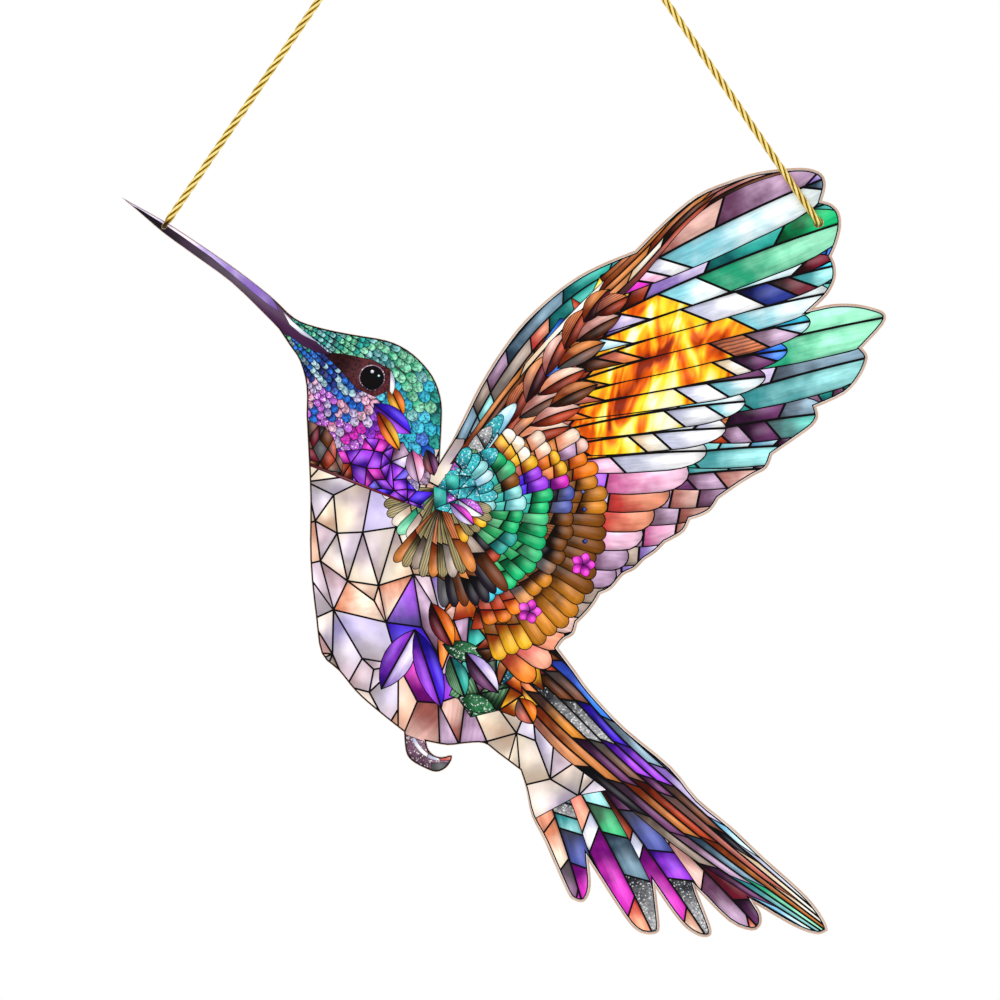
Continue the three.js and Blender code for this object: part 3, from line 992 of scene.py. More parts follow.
ARM_SPOTS = [
    ((110, -58), "rust brown maroon"), ((122, -40), "rust copper brown blue"),
    ((134, -26), "gold rust lilac flame"), ((140, -14), "magenta white sky"),
    ((186, -6), "teal mint slate"), ((190, -18), "blue slate"), ((120, -62), "rust gold orange"),
    ((104, -112), "rust orange brown"), ((184, -28), "ice teal"),
]
shards(ARM_GROUND, 6, 5, ARM_SPOTS)
for row in LONG_FEATHERS:
    feather(*row, bow=0.045)
print(len(shapes), "outlines so far")

# %% Draw the near wing's front edge
FRONT_EDGE = [
    (86, -70), (98, -53), (108, -41), (119, -29), (130, -18.5), (138, -11), (144, -4.5), (152, 1.5),
    (165, 7.5), (178, 10),
]
FRONT_EDGE_LOW = [
    (94, -69), (105, -53.5), (114, -42.5), (125, -31.5), (135, -22.5), (141.5, -15), (147, -8.5),
    (154, -2.4), (165.5, 3.6), (178, 7.2),
]
ribbon(FRONT_EDGE, FRONT_EDGE_LOW, [
    "copper:2 cream:3 copper:4 gold:4", "brown:2 peach:2 copper:3 copper:4 rose:3",
    "night:2 copper:3 cream:2 brown:3 rose:3", "rust:3 night:2 rust:4 brown:3"], line=ROW_LINE)
LEAVES = [  # along the arm, from the shoulder outwards
    ((98, -66), (106, -54)), ((101, -66), (112, -56)), ((101, -60), (108, -47)), ((104, -58), (117, -51)),
    ((106, -54), (112, -41)), ((109, -52), (122, -45)), ((111, -47), (117, -35)), ((114, -45), (127, -38)),
    ((116, -40), (122, -29)), ((119, -38), (131, -31)), ((121, -33), (128, -24)), ((103, -64), (118, -60)),
    ((107, -60), (121, -55)), ((112, -55), (125, -49)), ((124, -31), (133, -26)),
]
LEAF_WIDTH = 5.4
LEAF_INKS = ["rose rust", "copper brown", "clay rust", "rose brown", "copper maroon", "peach rust"]
for number, (root, tip) in enumerate(LEAVES):
    leaf(root, tip, LEAF_WIDTH, *LEAF_INKS[number % len(LEAF_INKS)].split(), line=0.4, bow=0.05)
print(len(shapes), "outlines so far")

# %% Draw the near wing's covering feathers
SHOULDER = Vector((87.4, -80.6))
ROW_INKS = {  # by the angle in degrees below which they are used
    "outer": [(-60, "umber gold"), (-34, "umber amber:2"), (-5, "umber"), (12, "umber amber"),
              (22, "umber orange"), (28, "plum mauve rose"), (60, "copper peach")],
    "middle": [(-58, "maroon rust orange"), (-36, "umber amber"), (-22, "night umber"), (-6, "bark umber"),
               (6, "night navy"), (18, "indigo magenta"), (32, "rust orange gold"), (60, "copper peach")],
    "inner": [(-60, "slate cyan"), (-30, "green emerald"), (-8, "green emerald:2"), (10, "teal emerald"),
              (24, "indigo violet"), (36, "rust gold"), (70, "rust gold cream")],
    "inmost": [(-50, "night rust"), (-25, "green teal"), (0, "green emerald"), (16, "teal lagoon"),
               (30, "fern umber"), (70, "teal emerald")],
}
ROW_WANDER = 0.03  # how far a row's feathers differ in length


def covering_row(row, inner, outer, first, last, count, droop):
    """A row of covering feathers round the shoulder, from its lowest feather to its highest."""
    step = math.radians(last - first) / count
    for k in range(count):
        degrees = first + (last - first) * (k + 0.5) / count
        reach = outer * (1 + droop * math.sin(math.radians(-degrees)))
        reach *= dice.uniform(1 - ROW_WANDER, 1 + ROW_WANDER)
        towards = heading(math.radians(degrees))
        names = next(names for limit, names in ROW_INKS[row] if degrees < limit)
        feather(SHOULDER + towards * inner, SHOULDER + towards * reach, reach * step * ROW_OVERLAP, names,
                None, 0.015, ROW_LINE, start=0.8, rounding=0.13)


for row in (("outer", 24, 39.3, -76, 33, 21, 0.10), ("middle", 19, 31, -76, 42, 18, 0.06),
            ("inner", 13, 25.5, -74, 56, 17, 0.06), ("inmost", 8, 18.5, -70, 62, 12, 0)):
    covering_row(*row)

DOTS = (-2, 33, 1.1), (-16, 34.5, 1.1), (-25, 37, 2.3), (6, 33, 0.9), (-55, 34, 2.3)  # angle, reach, size
FLOWER_SIZE = 2  # a dot larger than this is a flower
for degrees, radius, size in DOTS:
    middle = SHOULDER + heading(math.radians(degrees)) * radius
    petals, ink = (5, "magenta") if size > FLOWER_SIZE else (1, "navy")
    for k in range(petals):
        leaf(middle, middle + heading(FULL_TURN * k / petals) * size * 1.5, size * 1.2, ink)
print(len(shapes), "outlines so far")

# %% Draw the shoulder
for tip, width, ink in (((103.5, -54), 4.2, "sky"), ((100, -57), 4.2, "sea"), ((97, -60), 4.4, "silver"),
                        ((98.5, -66), 5, "sea"), ((93, -66), 4, "fern")):
    feather((86, -78), tip, width, f"{ink} {ink} {ink}", None, 0.05, 0.35, start=0.5)
fan((85, -78), 13.5, -20, 70, 7, ["sea lagoon", "sea", "berry sea", "sea sky"], line=BODY_LINE)
for row in (
        ((84, -77), 16, 178, 300, 12, ["khaki pearl", "khaki", "fern khaki", "khaki ivory", "fern mint"]),
        ((84, -82), 27, 268, 312, 7,
         ["khaki brown night", "brown night", "taupe brown", "clay copper night"], 0.36),
        ((84, -81), 19, 225, 300, 9, ["clay copper", "khaki khaki", "khaki taupe", "khaki"]),
        ((86, -79), 12, 285, 350, 6, ["khaki gold", "khaki", "fern khaki"])):
    fan(*row)
SHOULDER_PATCH = [(82.5, -80.5), (83, -75.5), (86, -71.5), (91, -71), (93.5, -76), (92, -81), (87, -82.5)]
SHOULDER_SPOTS = [((86, -76), "sea sea teal"), ((91, -73), "sea teal"), ((88, -80), "sea sea berry")]
draw(SHOULDER_PATCH, "sea", HEAD_LINE)
shards(SHOULDER_PATCH, 3.4, 3, SHOULDER_SPOTS, line=0.24)
leaf((88, -79), (95, -83.5), 4.2, "berry", "white")
leaf((86, -80), (92.5, -86), 3.6, "magenta", "lilac")
print(len(shapes), "outlines so far")

# %% Draw the head
HEAD = [
    (42.9, -29), (48, -25), (60, -30), (74, -31), (86, -42), (87, -54), (83.6, -61), (81, -66.5), (78, -77),
    (72.6, -79.6), (65.5, -78), (57.3, -75.1), (51.6, -71.5), (46, -67.5), (43, -50), (42, -37),
]
HEAD_SPOTS = [
    ((47, -32), "teal mint"), ((54, -34), "mint teal lagoon"), ((60, -36), "mint mint teal"),
    ((67, -38), "mint lagoon"), ((74, -41), "ice mint mint"), ((79, -46), "mint lagoon cyan"),
    ((83, -52), "indigo teal"), ((77, -54), "cyan mint lagoon"), ((74, -60), "cyan blue"),
    ((79, -62), "blue cyan teal"), ((82, -66), "teal night"), ((76, -70), "pink mauve lilac"),
    ((81, -70), "plum mauve"), ((74, -50), "mint cyan"), ((46, -40), "blue slate teal"),
    ((51, -43), "blue sky navy"), ((56, -46), "blue navy sky"), ((48, -50), "lilac pink blue"),
    ((53, -52), "lilac blue berry"), ((59, -55), "blue lilac pink"), ((48, -57), "lilac blue berry"),
    ((54, -60), "lilac berry pink"), ((61, -60), "berry lilac magenta"),
    ((66, -60), "magenta berry violet"), ((48, -63), "brown mauve clay"), ((51, -68), "rust brown copper"),
    ((56, -66), "violet magenta berry"), ((62, -67), "violet magenta violet"),
    ((68, -68), "magenta violet violet"), ((58, -73), "indigo rust violet"),
    ((66, -75), "violet indigo magenta"), ((72, -74), "indigo violet"),
]
BILL_BASE = Vector((40, -31))
THROAT_EDGE = (Vector((40, -66)), Vector((80, -82.2)))  # the throat's colours end in a clean line
LEAST_SCALE, LARGEST_SCALE = 1.3, 5.2  # mm, at the bill and at the nape
NEAREST_ROW, FARTHEST_ROW, NAPE = 3.0, 62, 58  # how far from the bill's base, in mm
LOWEST_ANGLE, ANGLES = math.radians(-100), math.radians(112)
ROW_SHARE, SCALE_SHARE = 0.72, 0.78  # how much of a scale's size shows, along and across
FRONT_OF_THROAT = -44
DOWN = Vector((0.25, -1))  # how the throat's scales lie
BACK_OF_HEAD, THROAT_FLOW, CROWN_FLOW = 75, 0.7, 0.25  # how much each scale turns downwards


def head_scales():
    """Rows of scales that lie away from the bill, drawn from the nape forwards."""
    rows = []
    reach = NEAREST_ROW
    while reach < FARTHEST_ROW:
        rows.append((reach, LEAST_SCALE + (LARGEST_SCALE - LEAST_SCALE) * min(reach / NAPE, 1) ** 1.5))
        reach += rows[-1][1] * ROW_SHARE
    for number, (reach, size) in reversed(list(enumerate(rows))):
        count = int(FULL_TURN / 3.2 * reach / (size * SCALE_SHARE)) + 1
        for k in range(count):
            towards = heading(LOWEST_ANGLE + ANGLES * (k + 0.5 * (number % 2)) / count)
            place = BILL_BASE + towards * (reach + dice.uniform(-0.2, 0.2))
            if within(place + towards * size * 0.3, HEAD):
                down = min(reach / BACK_OF_HEAD, THROAT_FLOW) if place.y < FRONT_OF_THROAT else CROWN_FLOW
                ink = ink_near(place, HEAD_SPOTS)
                scale(place, towards.lerp(DOWN, down), size * 1.25, size * 0.86, ink, THROAT_EDGE)


draw(HEAD, "night", 0.1, edge=THROAT_EDGE)
head_scales()
GORGET = [(57, -66), (70, -62.5), (76, -66), (80, -84), (66, -82), (53, -76), (53, -70)]
CHIN = [(44, -58), (52, -60.5), (58, -67), (57, -78), (44, -72)]
CHIN_SPOTS = [((46, -60), "brown mauve"), ((50, -64), "brown maroon night"), ((54, -71), "umber rust brown")]
shards(GORGET, 3.5, 3.5, HEAD_SPOTS, SHOULDER_LINE, THROAT_EDGE)
shards(CHIN, 3.4, 2.9, CHIN_SPOTS, 0.28, THROAT_EDGE)
draw([(42, -66.6), (50, -69.8), (61, -74.2), (74, -79.5), (74.2, -80.2), (60.8, -75), (49.8, -70.6),
      (42, -67.6)], "maroon", 0.24)
for row in (
        ((70, -49), (74, -57.5), 4.2, "orange", "gold"), ((66, -54), (76, -62), 6, "indigo", "violet"),
        ((67, -56), (73, -66.5), 4, "gold", "orange"), ((70.5, -45), (71, -52), 2.2, "white"),
        ((76, -66), (78, -75), 5, "pink", "mauve"), ((80, -66), (82, -73), 4, "plum", "maroon")):
    leaf(*row)
print(len(shapes), "outlines so far")

# %% Draw the eye, the bill and the foot
def disc(middle, radius, ink, line):
    """A round spot."""
    rim = [Vector(middle) + heading(FULL_TURN * k / 24) * radius for k in range(24)]
    draw(rim, ink, line, (0, 1))


MASK = [(52.5, -40.6), (58, -41), (66, -42.6), (70.6, -45.2), (70.4, -50.6), (66.4, -52.4), (61.6, -50.2),
        (57.4, -45.4)]
draw(MASK, "mask", 0.2)
for row in (((65.7, -47.3), 3.55, "dusk", 0.2), ((65.7, -47.3), 3.15, "black", 0.3),
            ((65.8, -45.7), 0.5, "white", 0.1), ((67.5, -46.8), 0.32, "ice", 0.05)):
    disc(*row)

BILL_UPPER = [(-1.5, 2), (11.5, -4.5), (30, -17)]
BILL_SEAM = [(-1.5, -0.2), (4.5, -3), (11.8, -7.5), (15.8, -10.2), (23.8, -15.9), (31.8, -22.6),
             (37.8, -27.6), (41.5, -30.2)]
BILL_LINE, TOWARDS_TIP, FROM_TIP = 0.1, (-45, 33), (45, -33)
draw(BILL_UPPER + [(39.5, -24), (43.5, -28), (45, -32.4), (47.4, -34.8), (50.8, -37.6), (54.9, -41.2),
                   (52, -41), (47.6, -39), (44, -36.4), (41, -35.4), (28, -24), (11, -12), (-1.5, -3)],
     "wine", BILL_LINE, FROM_TIP)
draw(BILL_UPPER + [(37.8, -23.8), (40.4, -27.8)] + BILL_SEAM[::-1], "lilac", BILL_LINE, TOWARDS_TIP)
draw([(42.4, -30), (44.8, -32.4), (47.4, -34.7), (51.8, -38.2), (47.2, -36), (44.2, -33.4)], "white",
     BILL_LINE, TOWARDS_TIP)

draw([(73, -140), (79.3, -142.4), (80.6, -145.6), (84, -146.4), (88.5, -143.8), (90, -152), (73, -152)],
     "dusk", 0.3)
ribbon([(76, -141.6), (77.9, -144.9), (81.6, -147.3), (85.6, -147.5)],
       [(76.9, -141.4), (78.9, -144.4), (82, -146.5), (85.6, -146.7)], ["white white"], line=0.12)
draw([(81.2, -148), (85.6, -147.9), (85.8, -151), (81.2, -151)], "night", 0.2)
draw([(82.8, -146.5), (85, -145.4), (88.5, -143.5), (88, -147.2), (83.6, -147.6)], "coral", 0.2)
print(len(shapes), "outlines in all")

# %% [markdown]
# ## From outlines to ink
#
# The ink stops short of the sheet's edge, so a clear rim shows round the wings and the tail, and
# hardly any at the body. A black border lies between that limit and the panes. The two limits, the
# drawn outlines and the clearances round the holes are cut into triangles, tile by tile. Each
# triangle belongs to the highest outline that holds it.

# %% Find the limits of the ink
BORDER, BILL_BORDER = 0.35, 0.1  # the black border's width, in mm
BILL_ENDS = 40
HOLE_CLEARANCE = 0.2 * MM

borders = [rim + (BORDER if place.x > BILL_ENDS else BILL_BORDER) for place, rim in zip(drawn_outline, rims)]
limits = [inset(drawn_outline, rims), inset(drawn_outline, borders)]
clearances = [[to_drawing(p) for p in inset(hole, -HOLE_CLEARANCE)] for hole in holes]
print(f"the ink's limit has {len(limits[0])} points, area {abs(signed_area(limits[0])) / 100:.0f} cm2")

# %% Find what lies on top
TILE = 30.0  # mm; the time grows faster than the number of outlines, so it is done tile by tile


def box_of(points):
    """The least and the greatest x and y of some places."""
    xs, ys = [p.x for p in points], [p.y for p in points]
    return [min(xs), min(ys), max(xs), max(ys)]


boxes = [box_of(shape["points"]) for shape in shapes]
low_x, low_y, high_x, high_y = box_of(drawn_outline)
places, number_of, lead_triangles, pane_triangles, laid = [], {}, [], [], set()


def fill_tile(x, y):
    """Triangulates what touches one tile, and keeps the triangles that lie in the tile."""
    near = [shape for shape, box in zip(shapes, boxes)
            if box[0] < x + TILE and box[2] > x and box[1] < y + TILE and box[3] > y]
    square = [Vector((x, y)), Vector((x + TILE, y)), Vector((x + TILE, y + TILE)), Vector((x, y + TILE))]
    corners, rows = [], []
    stack = [square] + limits + [shape["points"] for shape in near] + clearances
    for points in stack:
        rows.append(list(range(len(corners), len(corners) + len(points))))
        corners += points
    found, _, triangles, _, _, owners = delaunay_2d_cdt(corners, [], rows, 1, FINEST, True)
    numbers = [number_of.setdefault((round(p.x, 3), round(p.y, 3)), len(number_of)) for p in found]
    places.extend([None] * (len(number_of) - len(places)))
    for number, place in zip(numbers, found):
        places[number] = place
    for triangle, holders in zip(triangles, owners):
        if 0 not in holders or 1 not in holders:
            continue
        # A pane that crosses itself can claim its outside, so each claim is tested, the highest first.
        middle = (found[triangle[0]] + found[triangle[1]] + found[triangle[2]]) / 3
        top = next((k - 3 for k in sorted(holders, reverse=True) if k < 3 or within(middle, stack[k])), -1)
        face = [numbers[v] for v in triangle]
        # Corners closer than a thousandth of a millimetre are one place, so the thinnest slivers are none.
        if top < len(near) and len(set(face)) == 3 and frozenset(face) not in laid:
            laid.add(frozenset(face))
            if 2 in holders and top >= 0 and "glass" in near[top]:
                pane_triangles.append((face, near[top]))
            else:
                lead_triangles.append(face)


for column in range(math.ceil((high_x - low_x) / TILE)):
    for row in range(math.ceil((high_y - low_y) / TILE)):
        fill_tile(low_x + column * TILE, low_y + row * TILE)
print(len(places), "places,", len(lead_triangles), "triangles of leading,", len(pane_triangles), "of panes")

# %% Build the two layers of ink
INK_PLANE = PANEL_FRONT - 0.03 * MM


def layer(name, faces, materials, indices):
    """Flat ink on the sheet's front: a mesh that faces forwards. Ink has no height of its own."""
    used = sorted({v for face in faces for v in face})
    number = {v: k for k, v in enumerate(used)}
    spots = [(BILL_TIP + places[v]) * MM for v in used]
    mesh = bpy.data.meshes.new(name)
    mesh.from_pydata([(p.x, INK_PLANE, p.y) for p in spots], [],
                     [[number[v] for v in face] for face in faces])
    for material in materials:
        mesh.materials.append(material)
    mesh.polygons.foreach_set("material_index", indices)
    return add_object(name, mesh)


def forwards(triangle):
    """The triangle's corners in the order that makes it face the viewer."""
    a, b, c = (places[v] for v in triangle)
    return triangle if (b - a).cross(c - a) > 0 else triangle[::-1]


def pane_places(shape):
    """The pane's own two directions, where it starts along them, and its length and width."""
    along = shape["along"]
    side = leftwards(along)
    reach = [(p.dot(along), p.dot(side)) for p in shape["points"]]
    lows = [min(r[k] for r in reach) for k in (0, 1)]
    spans = [max(max(r[k] for r in reach) - lows[k], 0.01) for k in (0, 1)]
    return along, side, lows, spans

# %% [markdown]
# ## The inks
#
# Each kind of glass is one material. All of them blend a pane's two colours along the pane, with a
# soft wave in the blend, a glow off its middle and a darker edge, as airbrushed stained glass has.
# The blend comes from the pane's own places, which the mesh stores as a map, and the colours come
# from two stored colours. The clear varnish over the ink gives a low, even gloss.

# %% Blend and shade a pane
BLEND_WAVE, WAVE_DEPTH = 5 * MM, 0.9  # the soft waves in the blend
BLEND_START, BLEND_END = 0.05, 0.85  # along the pane
EDGE_BULGE = 0.12  # how far in the dark edge reaches, as a share times its rest
GLOW_PLACE, GLOW_REACH, GLOW_HAZE = (0.6, 0.58, 0.0), 0.42, 0.2
VARNISH_GLOSS, LEADING_GLOSS, VARNISH_IOR, VARNISH_SHINE = 0.22, 0.3, 1.5, 0.07
WHITE = linear("#ffffff")


def pane_blend(tree):
    """A pane's two colours blended along it. Gives the colour, the pane's two places, and the place."""
    root = add_node(tree, "ShaderNodeAttribute", attribute_name="pane_root").outputs["Color"]
    tip = add_node(tree, "ShaderNodeAttribute", attribute_name="pane_tip").outputs["Color"]
    spot = add_node(tree, "ShaderNodeUVMap", uv_map="pane")
    parts = add_node(tree, "ShaderNodeSeparateXYZ", {"Vector": spot})
    place = add_node(tree, "ShaderNodeTexCoord").outputs["Object"]
    wave = add_node(tree, "ShaderNodeTexNoise", {"Vector": place, "Scale": 1 / BLEND_WAVE, "Detail": 2.0})
    shift = add_node(tree, MATHS, {0: wave, 1: WAVE_DEPTH, 2: -WAVE_DEPTH / 2}, operation="MULTIPLY_ADD")
    way = add_node(tree, MATHS, {0: parts.outputs["X"], 1: shift}, operation="ADD")
    smooth = add_node(tree, "ShaderNodeMapRange", {"Value": way, "From Min": BLEND_START,
                                                   "From Max": BLEND_END}, interpolation_type="SMOOTHSTEP")
    colour = add_node(tree, "ShaderNodeMix", {"Factor": smooth, 6: root, 7: tip}, data_type="RGBA").outputs[2]
    return colour, parts.outputs["X"], parts.outputs["Y"], place


def shaded(tree, colour, pattern, low, high, dark, light):
    """Darkens and lightens a colour by a pattern, whose values from low to high become factors."""
    tone = add_node(tree, "ShaderNodeMapRange", {"Value": pattern, "From Min": low, "From Max": high,
                                                 "To Min": dark, "To Max": light})
    return add_node(tree, "ShaderNodeMix", {"Factor": 1.0, 6: colour, 7: tone.outputs[0]}, data_type="RGBA",
                    blend_type="MULTIPLY").outputs[2]


def edge_shade(tree, colour, along, across, depth, glow):
    """Darkens a pane near its leading, and lightens it at a soft spot off its middle."""
    for place in (along, across):
        left = add_node(tree, MATHS, {0: place, 1: place}, operation="MULTIPLY")
        bulge = add_node(tree, MATHS, {0: place, 1: left}, operation="SUBTRACT")
        colour = shaded(tree, colour, bulge, 0.0, EDGE_BULGE, 1 - depth, 1.0)
    spot = add_node(tree, "ShaderNodeCombineXYZ", {"X": along, "Y": across})
    far = add_node(tree, VECTOR_MATHS, {0: spot, 1: GLOW_PLACE}, operation="DISTANCE").outputs["Value"]
    light = add_node(tree, "ShaderNodeMapRange", {"Value": far, "From Min": GLOW_REACH, "From Max": 0.0,
                                                  "To Min": 0.0, "To Max": glow},
                     interpolation_type="SMOOTHSTEP")
    bright = add_node(tree, "ShaderNodeMix", {"Factor": light, 6: colour, 7: WHITE}, data_type="RGBA",
                      blend_type="DODGE", clamp_result=True).outputs[2]
    haze = add_node(tree, MATHS, {0: light, 1: GLOW_HAZE}, operation="MULTIPLY")
    return add_node(tree, "ShaderNodeMix", {"Factor": haze, 6: bright, 7: WHITE}, data_type="RGBA").outputs[2]


def varnished(tree, colour, gloss=VARNISH_GLOSS):
    """Ink of a colour under the clear varnish."""
    shader = add_node(tree, SHADER, {"Base Color": colour, "Roughness": gloss, "IOR": VARNISH_IOR,
                                     "Specular IOR Level": VARNISH_SHINE})
    add_node(tree, "ShaderNodeOutputMaterial", {"Surface": shader})

# %% [markdown]
# Each kind of glass differs only in its pattern. A pattern gets the blended colour, the pane's two
# places and the place on the sheet, and gives the colour back with its streaks, grains or ribs.

# %% Draw the patterns of glass
STREAK_SPREAD, STREAKS, PANE_SHIFT = (0.8, 4.0, 1.0), 2.2, 60.0  # streaks run along the pane
FLAME_LENGTH, FLAME_WIDTH, FLAME_LEAN = 19 * MM, 5.8 * MM, -76  # the tongues rise, leaning a little
FLAME_STOPS = [(0.34, "#8a2404"), (0.42, "#e85a04"), (0.48, "#ffa01c"), (0.55, "#ffe21e"),
               (0.61, "#fff38a"), (0.68, "#fffbe0")]
PEARL_STOPS = [(0.3, "#b4a8e0"), (0.5, "#fff4e4"), (0.7, "#f6c09c")]
PEARL_CLOUD, PEARL_SHARE = 13 * MM, 0.35
BARBS, BARB_WANDER, BARB_NOISE = 34.0, 5.0, 180.0
GLITTER_GRAIN, SPARK_SHARE = 0.34 * MM, 0.6
SCALE_SPECK = 0.7 * MM


def glass_pattern(tree, colour, along, across, place):
    """Airbrushed ink over plain glass: a blend with long soft streaks along the pane."""
    streak_place = add_node(tree, "ShaderNodeCombineXYZ", {"X": along, "Y": across})
    spread = add_node(tree, VECTOR_MATHS, {0: streak_place, 1: STREAK_SPREAD}, operation="MULTIPLY")
    moved = add_node(tree, VECTOR_MATHS, {0: place, 1: (PANE_SHIFT,) * 3, 2: spread},
                     operation="MULTIPLY_ADD")
    streaks = add_node(tree, "ShaderNodeTexNoise", {"Vector": moved, "Scale": STREAKS, "Detail": 3.0})
    return shaded(tree, colour, streaks, 0.3, 0.7, 0.82, 1.14)


def flame_pattern(tree, colour, along, across, place):
    """Streaky fire glass: tongues of rust, orange, yellow and white that run on from pane to pane."""
    turned = add_node(tree, "ShaderNodeMapping",
                      {"Vector": place, "Rotation": (0.0, math.radians(FLAME_LEAN), 0.0),
                       "Scale": (FLAME_LENGTH, FLAME_WIDTH, FLAME_WIDTH)}, vector_type="TEXTURE")
    tongues = add_node(tree, "ShaderNodeTexNoise", {"Vector": turned, "Scale": 1.0, "Detail": 2.5,
                                                    "Roughness": 0.5, "Distortion": 0.9})
    ramp = add_node(tree, "ShaderNodeValToRGB", {"Fac": tongues})
    set_stops(ramp, FLAME_STOPS)
    return ramp.outputs["Color"]


def pearl_pattern(tree, colour, along, across, place):
    """Opal glass: a pale blend with clouds of lilac, cream and peach."""
    cloud = add_node(tree, "ShaderNodeTexNoise", {"Vector": place, "Scale": 1 / PEARL_CLOUD, "Detail": 1.0})
    ramp = add_node(tree, "ShaderNodeValToRGB", {"Fac": cloud})
    set_stops(ramp, PEARL_STOPS)
    return add_node(tree, "ShaderNodeMix", {"Factor": PEARL_SHARE, 6: colour, 7: ramp.outputs["Color"]},
                    data_type="RGBA").outputs[2]


def ribbed_pattern(tree, colour, along, across, place):
    """A feather's barbs: fine dark lines that spread along the pane."""
    ribs = add_node(tree, "ShaderNodeTexNoise", {"Vector": place, "Scale": BARB_NOISE, "Detail": 1.0})
    spread = add_node(tree, MATHS, {0: across, 1: BARBS}, operation="MULTIPLY")
    bent = add_node(tree, MATHS, {0: ribs, 1: BARB_WANDER, 2: spread}, operation="MULTIPLY_ADD")
    wave = add_node(tree, MATHS, {0: bent}, operation="SINE")
    return shaded(tree, colour, wave, -1.0, 0.4, 0.35, 1.15)


def glitter_pattern(tree, colour, along, across, place):
    """Glitter glass: grains of a third of a millimetre, some bright and some dark."""
    grains = add_node(tree, "ShaderNodeTexVoronoi", {"Vector": place, "Scale": 1 / GLITTER_GRAIN})
    tone = add_node(tree, "ShaderNodeSeparateColor", {"Color": grains.outputs["Color"]}).outputs[0]
    stippled = shaded(tree, colour, tone, 0.0, 1.0, 0.45, 1.25)
    spark = add_node(tree, "ShaderNodeMapRange", {"Value": tone, "From Min": 0.86, "From Max": 0.95,
                                                  "To Min": 0.0, "To Max": SPARK_SHARE})
    return add_node(tree, "ShaderNodeMix", {"Factor": spark.outputs[0], 6: stippled, 7: WHITE},
                    data_type="RGBA").outputs[2]


def scale_pattern(tree, colour, along, across, place):
    """The head's small scales: a plain blend with fine dark specks, like etched glass."""
    specks = add_node(tree, "ShaderNodeTexNoise", {"Vector": place, "Scale": 1 / SCALE_SPECK, "Detail": 2.0})
    return shaded(tree, colour, specks, 0.38, 0.58, 0.3, 1.02)

# %% Make the inks
PATTERNS = [  # kind, pattern, how dark the edge is and how bright the glow
    ("glass", glass_pattern, 0.42, 0.36), ("flame", flame_pattern, 0.2, 0.12),
    ("pearl", pearl_pattern, 0.12, 0.3), ("ribbed", ribbed_pattern, 0.3, 0.15),
    ("glitter", glitter_pattern, 0.25, 0.1), ("scale", scale_pattern, 0.15, 0.06),
]
glass_materials = []
for kind, pattern, depth, glow in PATTERNS:
    ink, ink_tree = new_material(f"printed {kind} ink")
    colour, along, across, place = pane_blend(ink_tree)
    drawn = pattern(ink_tree, colour, along, across, place)
    varnished(ink_tree, edge_shade(ink_tree, drawn, along, across, depth, glow))
    glass_materials.append(ink)
leading, leading_tree = new_material("printed leading ink")  # near black, with a trace of brown
varnished(leading_tree, linear("#070406"), LEADING_GLOSS)
print("inks:", [m.name for m in glass_materials])

# %% Lay the ink on the sheet
MAP_SIZE = 210.0  # the side, in mm of the drawing, of the square that the baked map covers
MAP_CORNER = Vector((-5, -198))

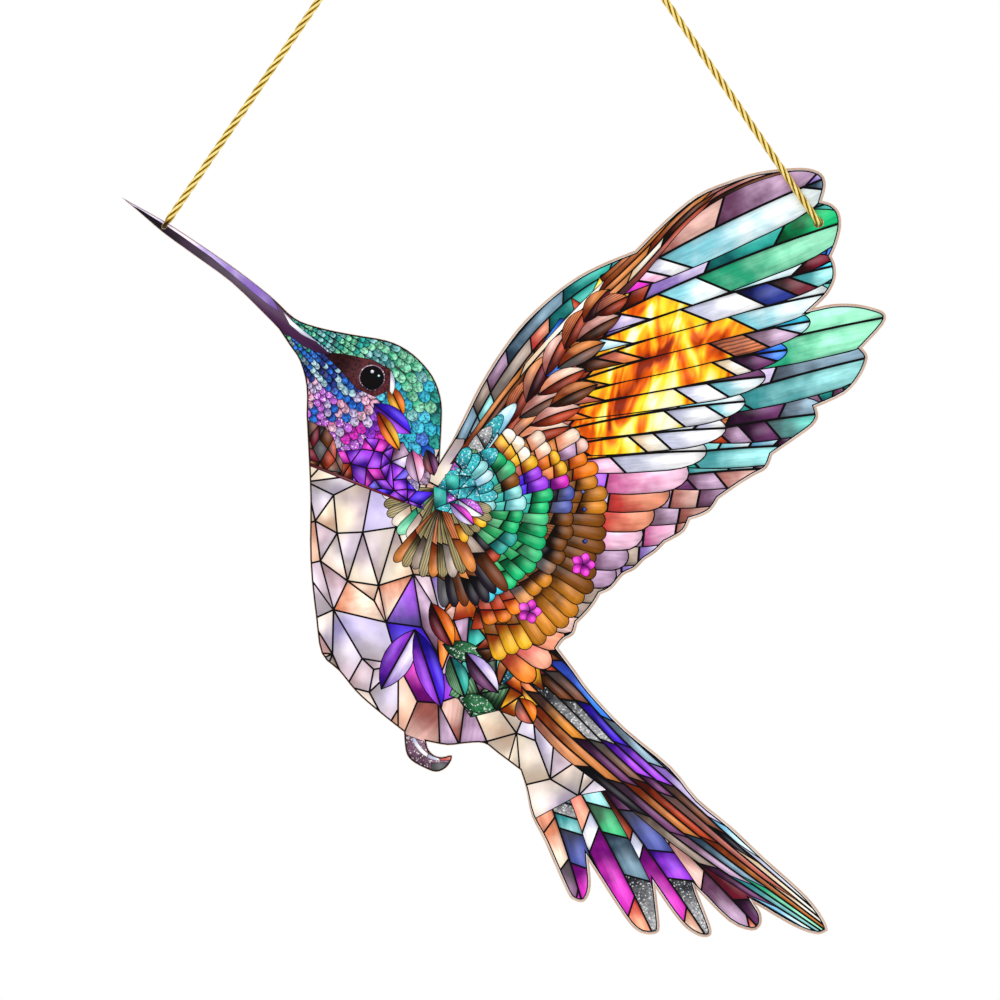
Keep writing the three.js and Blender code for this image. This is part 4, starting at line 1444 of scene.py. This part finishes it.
lines = layer("printed_leading", [forwards(t) for t in lead_triangles], [leading], [0] * len(lead_triangles))
panes = layer("printed_panes", [forwards(t) for t, _ in pane_triangles], glass_materials,
              [shape["glass"] for _, shape in pane_triangles])
frames, roots, tips, pane_map, bake_map = {}, [], [], [], []
for triangle, shape in pane_triangles:
    along, side, lows, spans = frames.setdefault(id(shape), pane_places(shape))
    for v in forwards(triangle):
        place = places[v]
        pane_map += [(place.dot(along) - lows[0]) / spans[0], (place.dot(side) - lows[1]) / spans[1]]
        bake_map += list((place - MAP_CORNER) / MAP_SIZE)
        roots += shape["root"]
        tips += shape["tip"]
for name, values in (("pane", pane_map), ("OFBake", bake_map)):
    panes.data.uv_layers.new(name=name).data.foreach_set("uv", values)
for name, values in (("pane_root", roots), ("pane_tip", tips)):
    panes.data.attributes.new(name, "FLOAT_COLOR", "CORNER").data.foreach_set("color", values)
for piece in (lines, panes):
    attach(piece, "root")
print("leading faces:", len(lines.data.polygons), "pane faces:", len(panes.data.polygons))

# %% [markdown]
# ## Light and background
#
# The photograph has a plain white ground and even light without shadows. A pale floor lies far
# below, the surround is white, and two large soft lamps stand before the bird and one behind it.

# %% Light the scene
FLOOR_DROP = 0.75
FLOOR_SIZE = 16.0
FLOOR_ROUGHNESS = 0.9
SURROUND = 1.0  # the white surround's strength
LAMP_SIZE = 1.2
LAMPS = [((-1.2, -1.8, 0.6), 4.0), ((1.5, -1.6, 0.1), 2.0), ((0.2, 1.8, 0.6), 2.0)]  # place and watts

half = FLOOR_SIZE / 2
floor_corners = [(-half, -half), (half, -half), (half, half), (-half, half)]
floor_mesh = bpy.data.meshes.new("studio_floor")
floor_mesh.from_pydata([(x, y, -FLOOR_DROP) for x, y in floor_corners], [], [(0, 1, 2, 3)])
floor = add_object("studio_floor", floor_mesh)
floor_paint, floor_tree = new_material("matt white floor paint")
paint = add_node(floor_tree, SHADER, {"Base Color": linear("#fafafa"), "Roughness": FLOOR_ROUGHNESS})
add_node(floor_tree, "ShaderNodeOutputMaterial", {"Surface": paint})
floor_mesh.materials.append(floor_paint)

studio = bpy.data.worlds.new("studio")
bpy.context.scene.world = studio
studio.use_nodes = True
studio.node_tree.nodes.clear()
sky = add_node(studio.node_tree, "ShaderNodeBackground", {"Color": WHITE, "Strength": SURROUND})
add_node(studio.node_tree, "ShaderNodeOutputWorld", {"Surface": sky})
for number, (place, power) in enumerate(LAMPS):
    lamp = bpy.data.lights.new(f"lamp_{number}", "AREA")
    lamp.size = LAMP_SIZE
    lamp.energy = power
    holder = add_object(f"lamp_{number}", lamp)
    holder.location = place
    holder.rotation_euler = (PICTURE_CENTRE - Vector(place)).to_track_quat("-Z", "Y").to_euler()
bpy.context.scene.view_settings.view_transform = "Standard"
print(len(LAMPS), "lamps and a white surround")
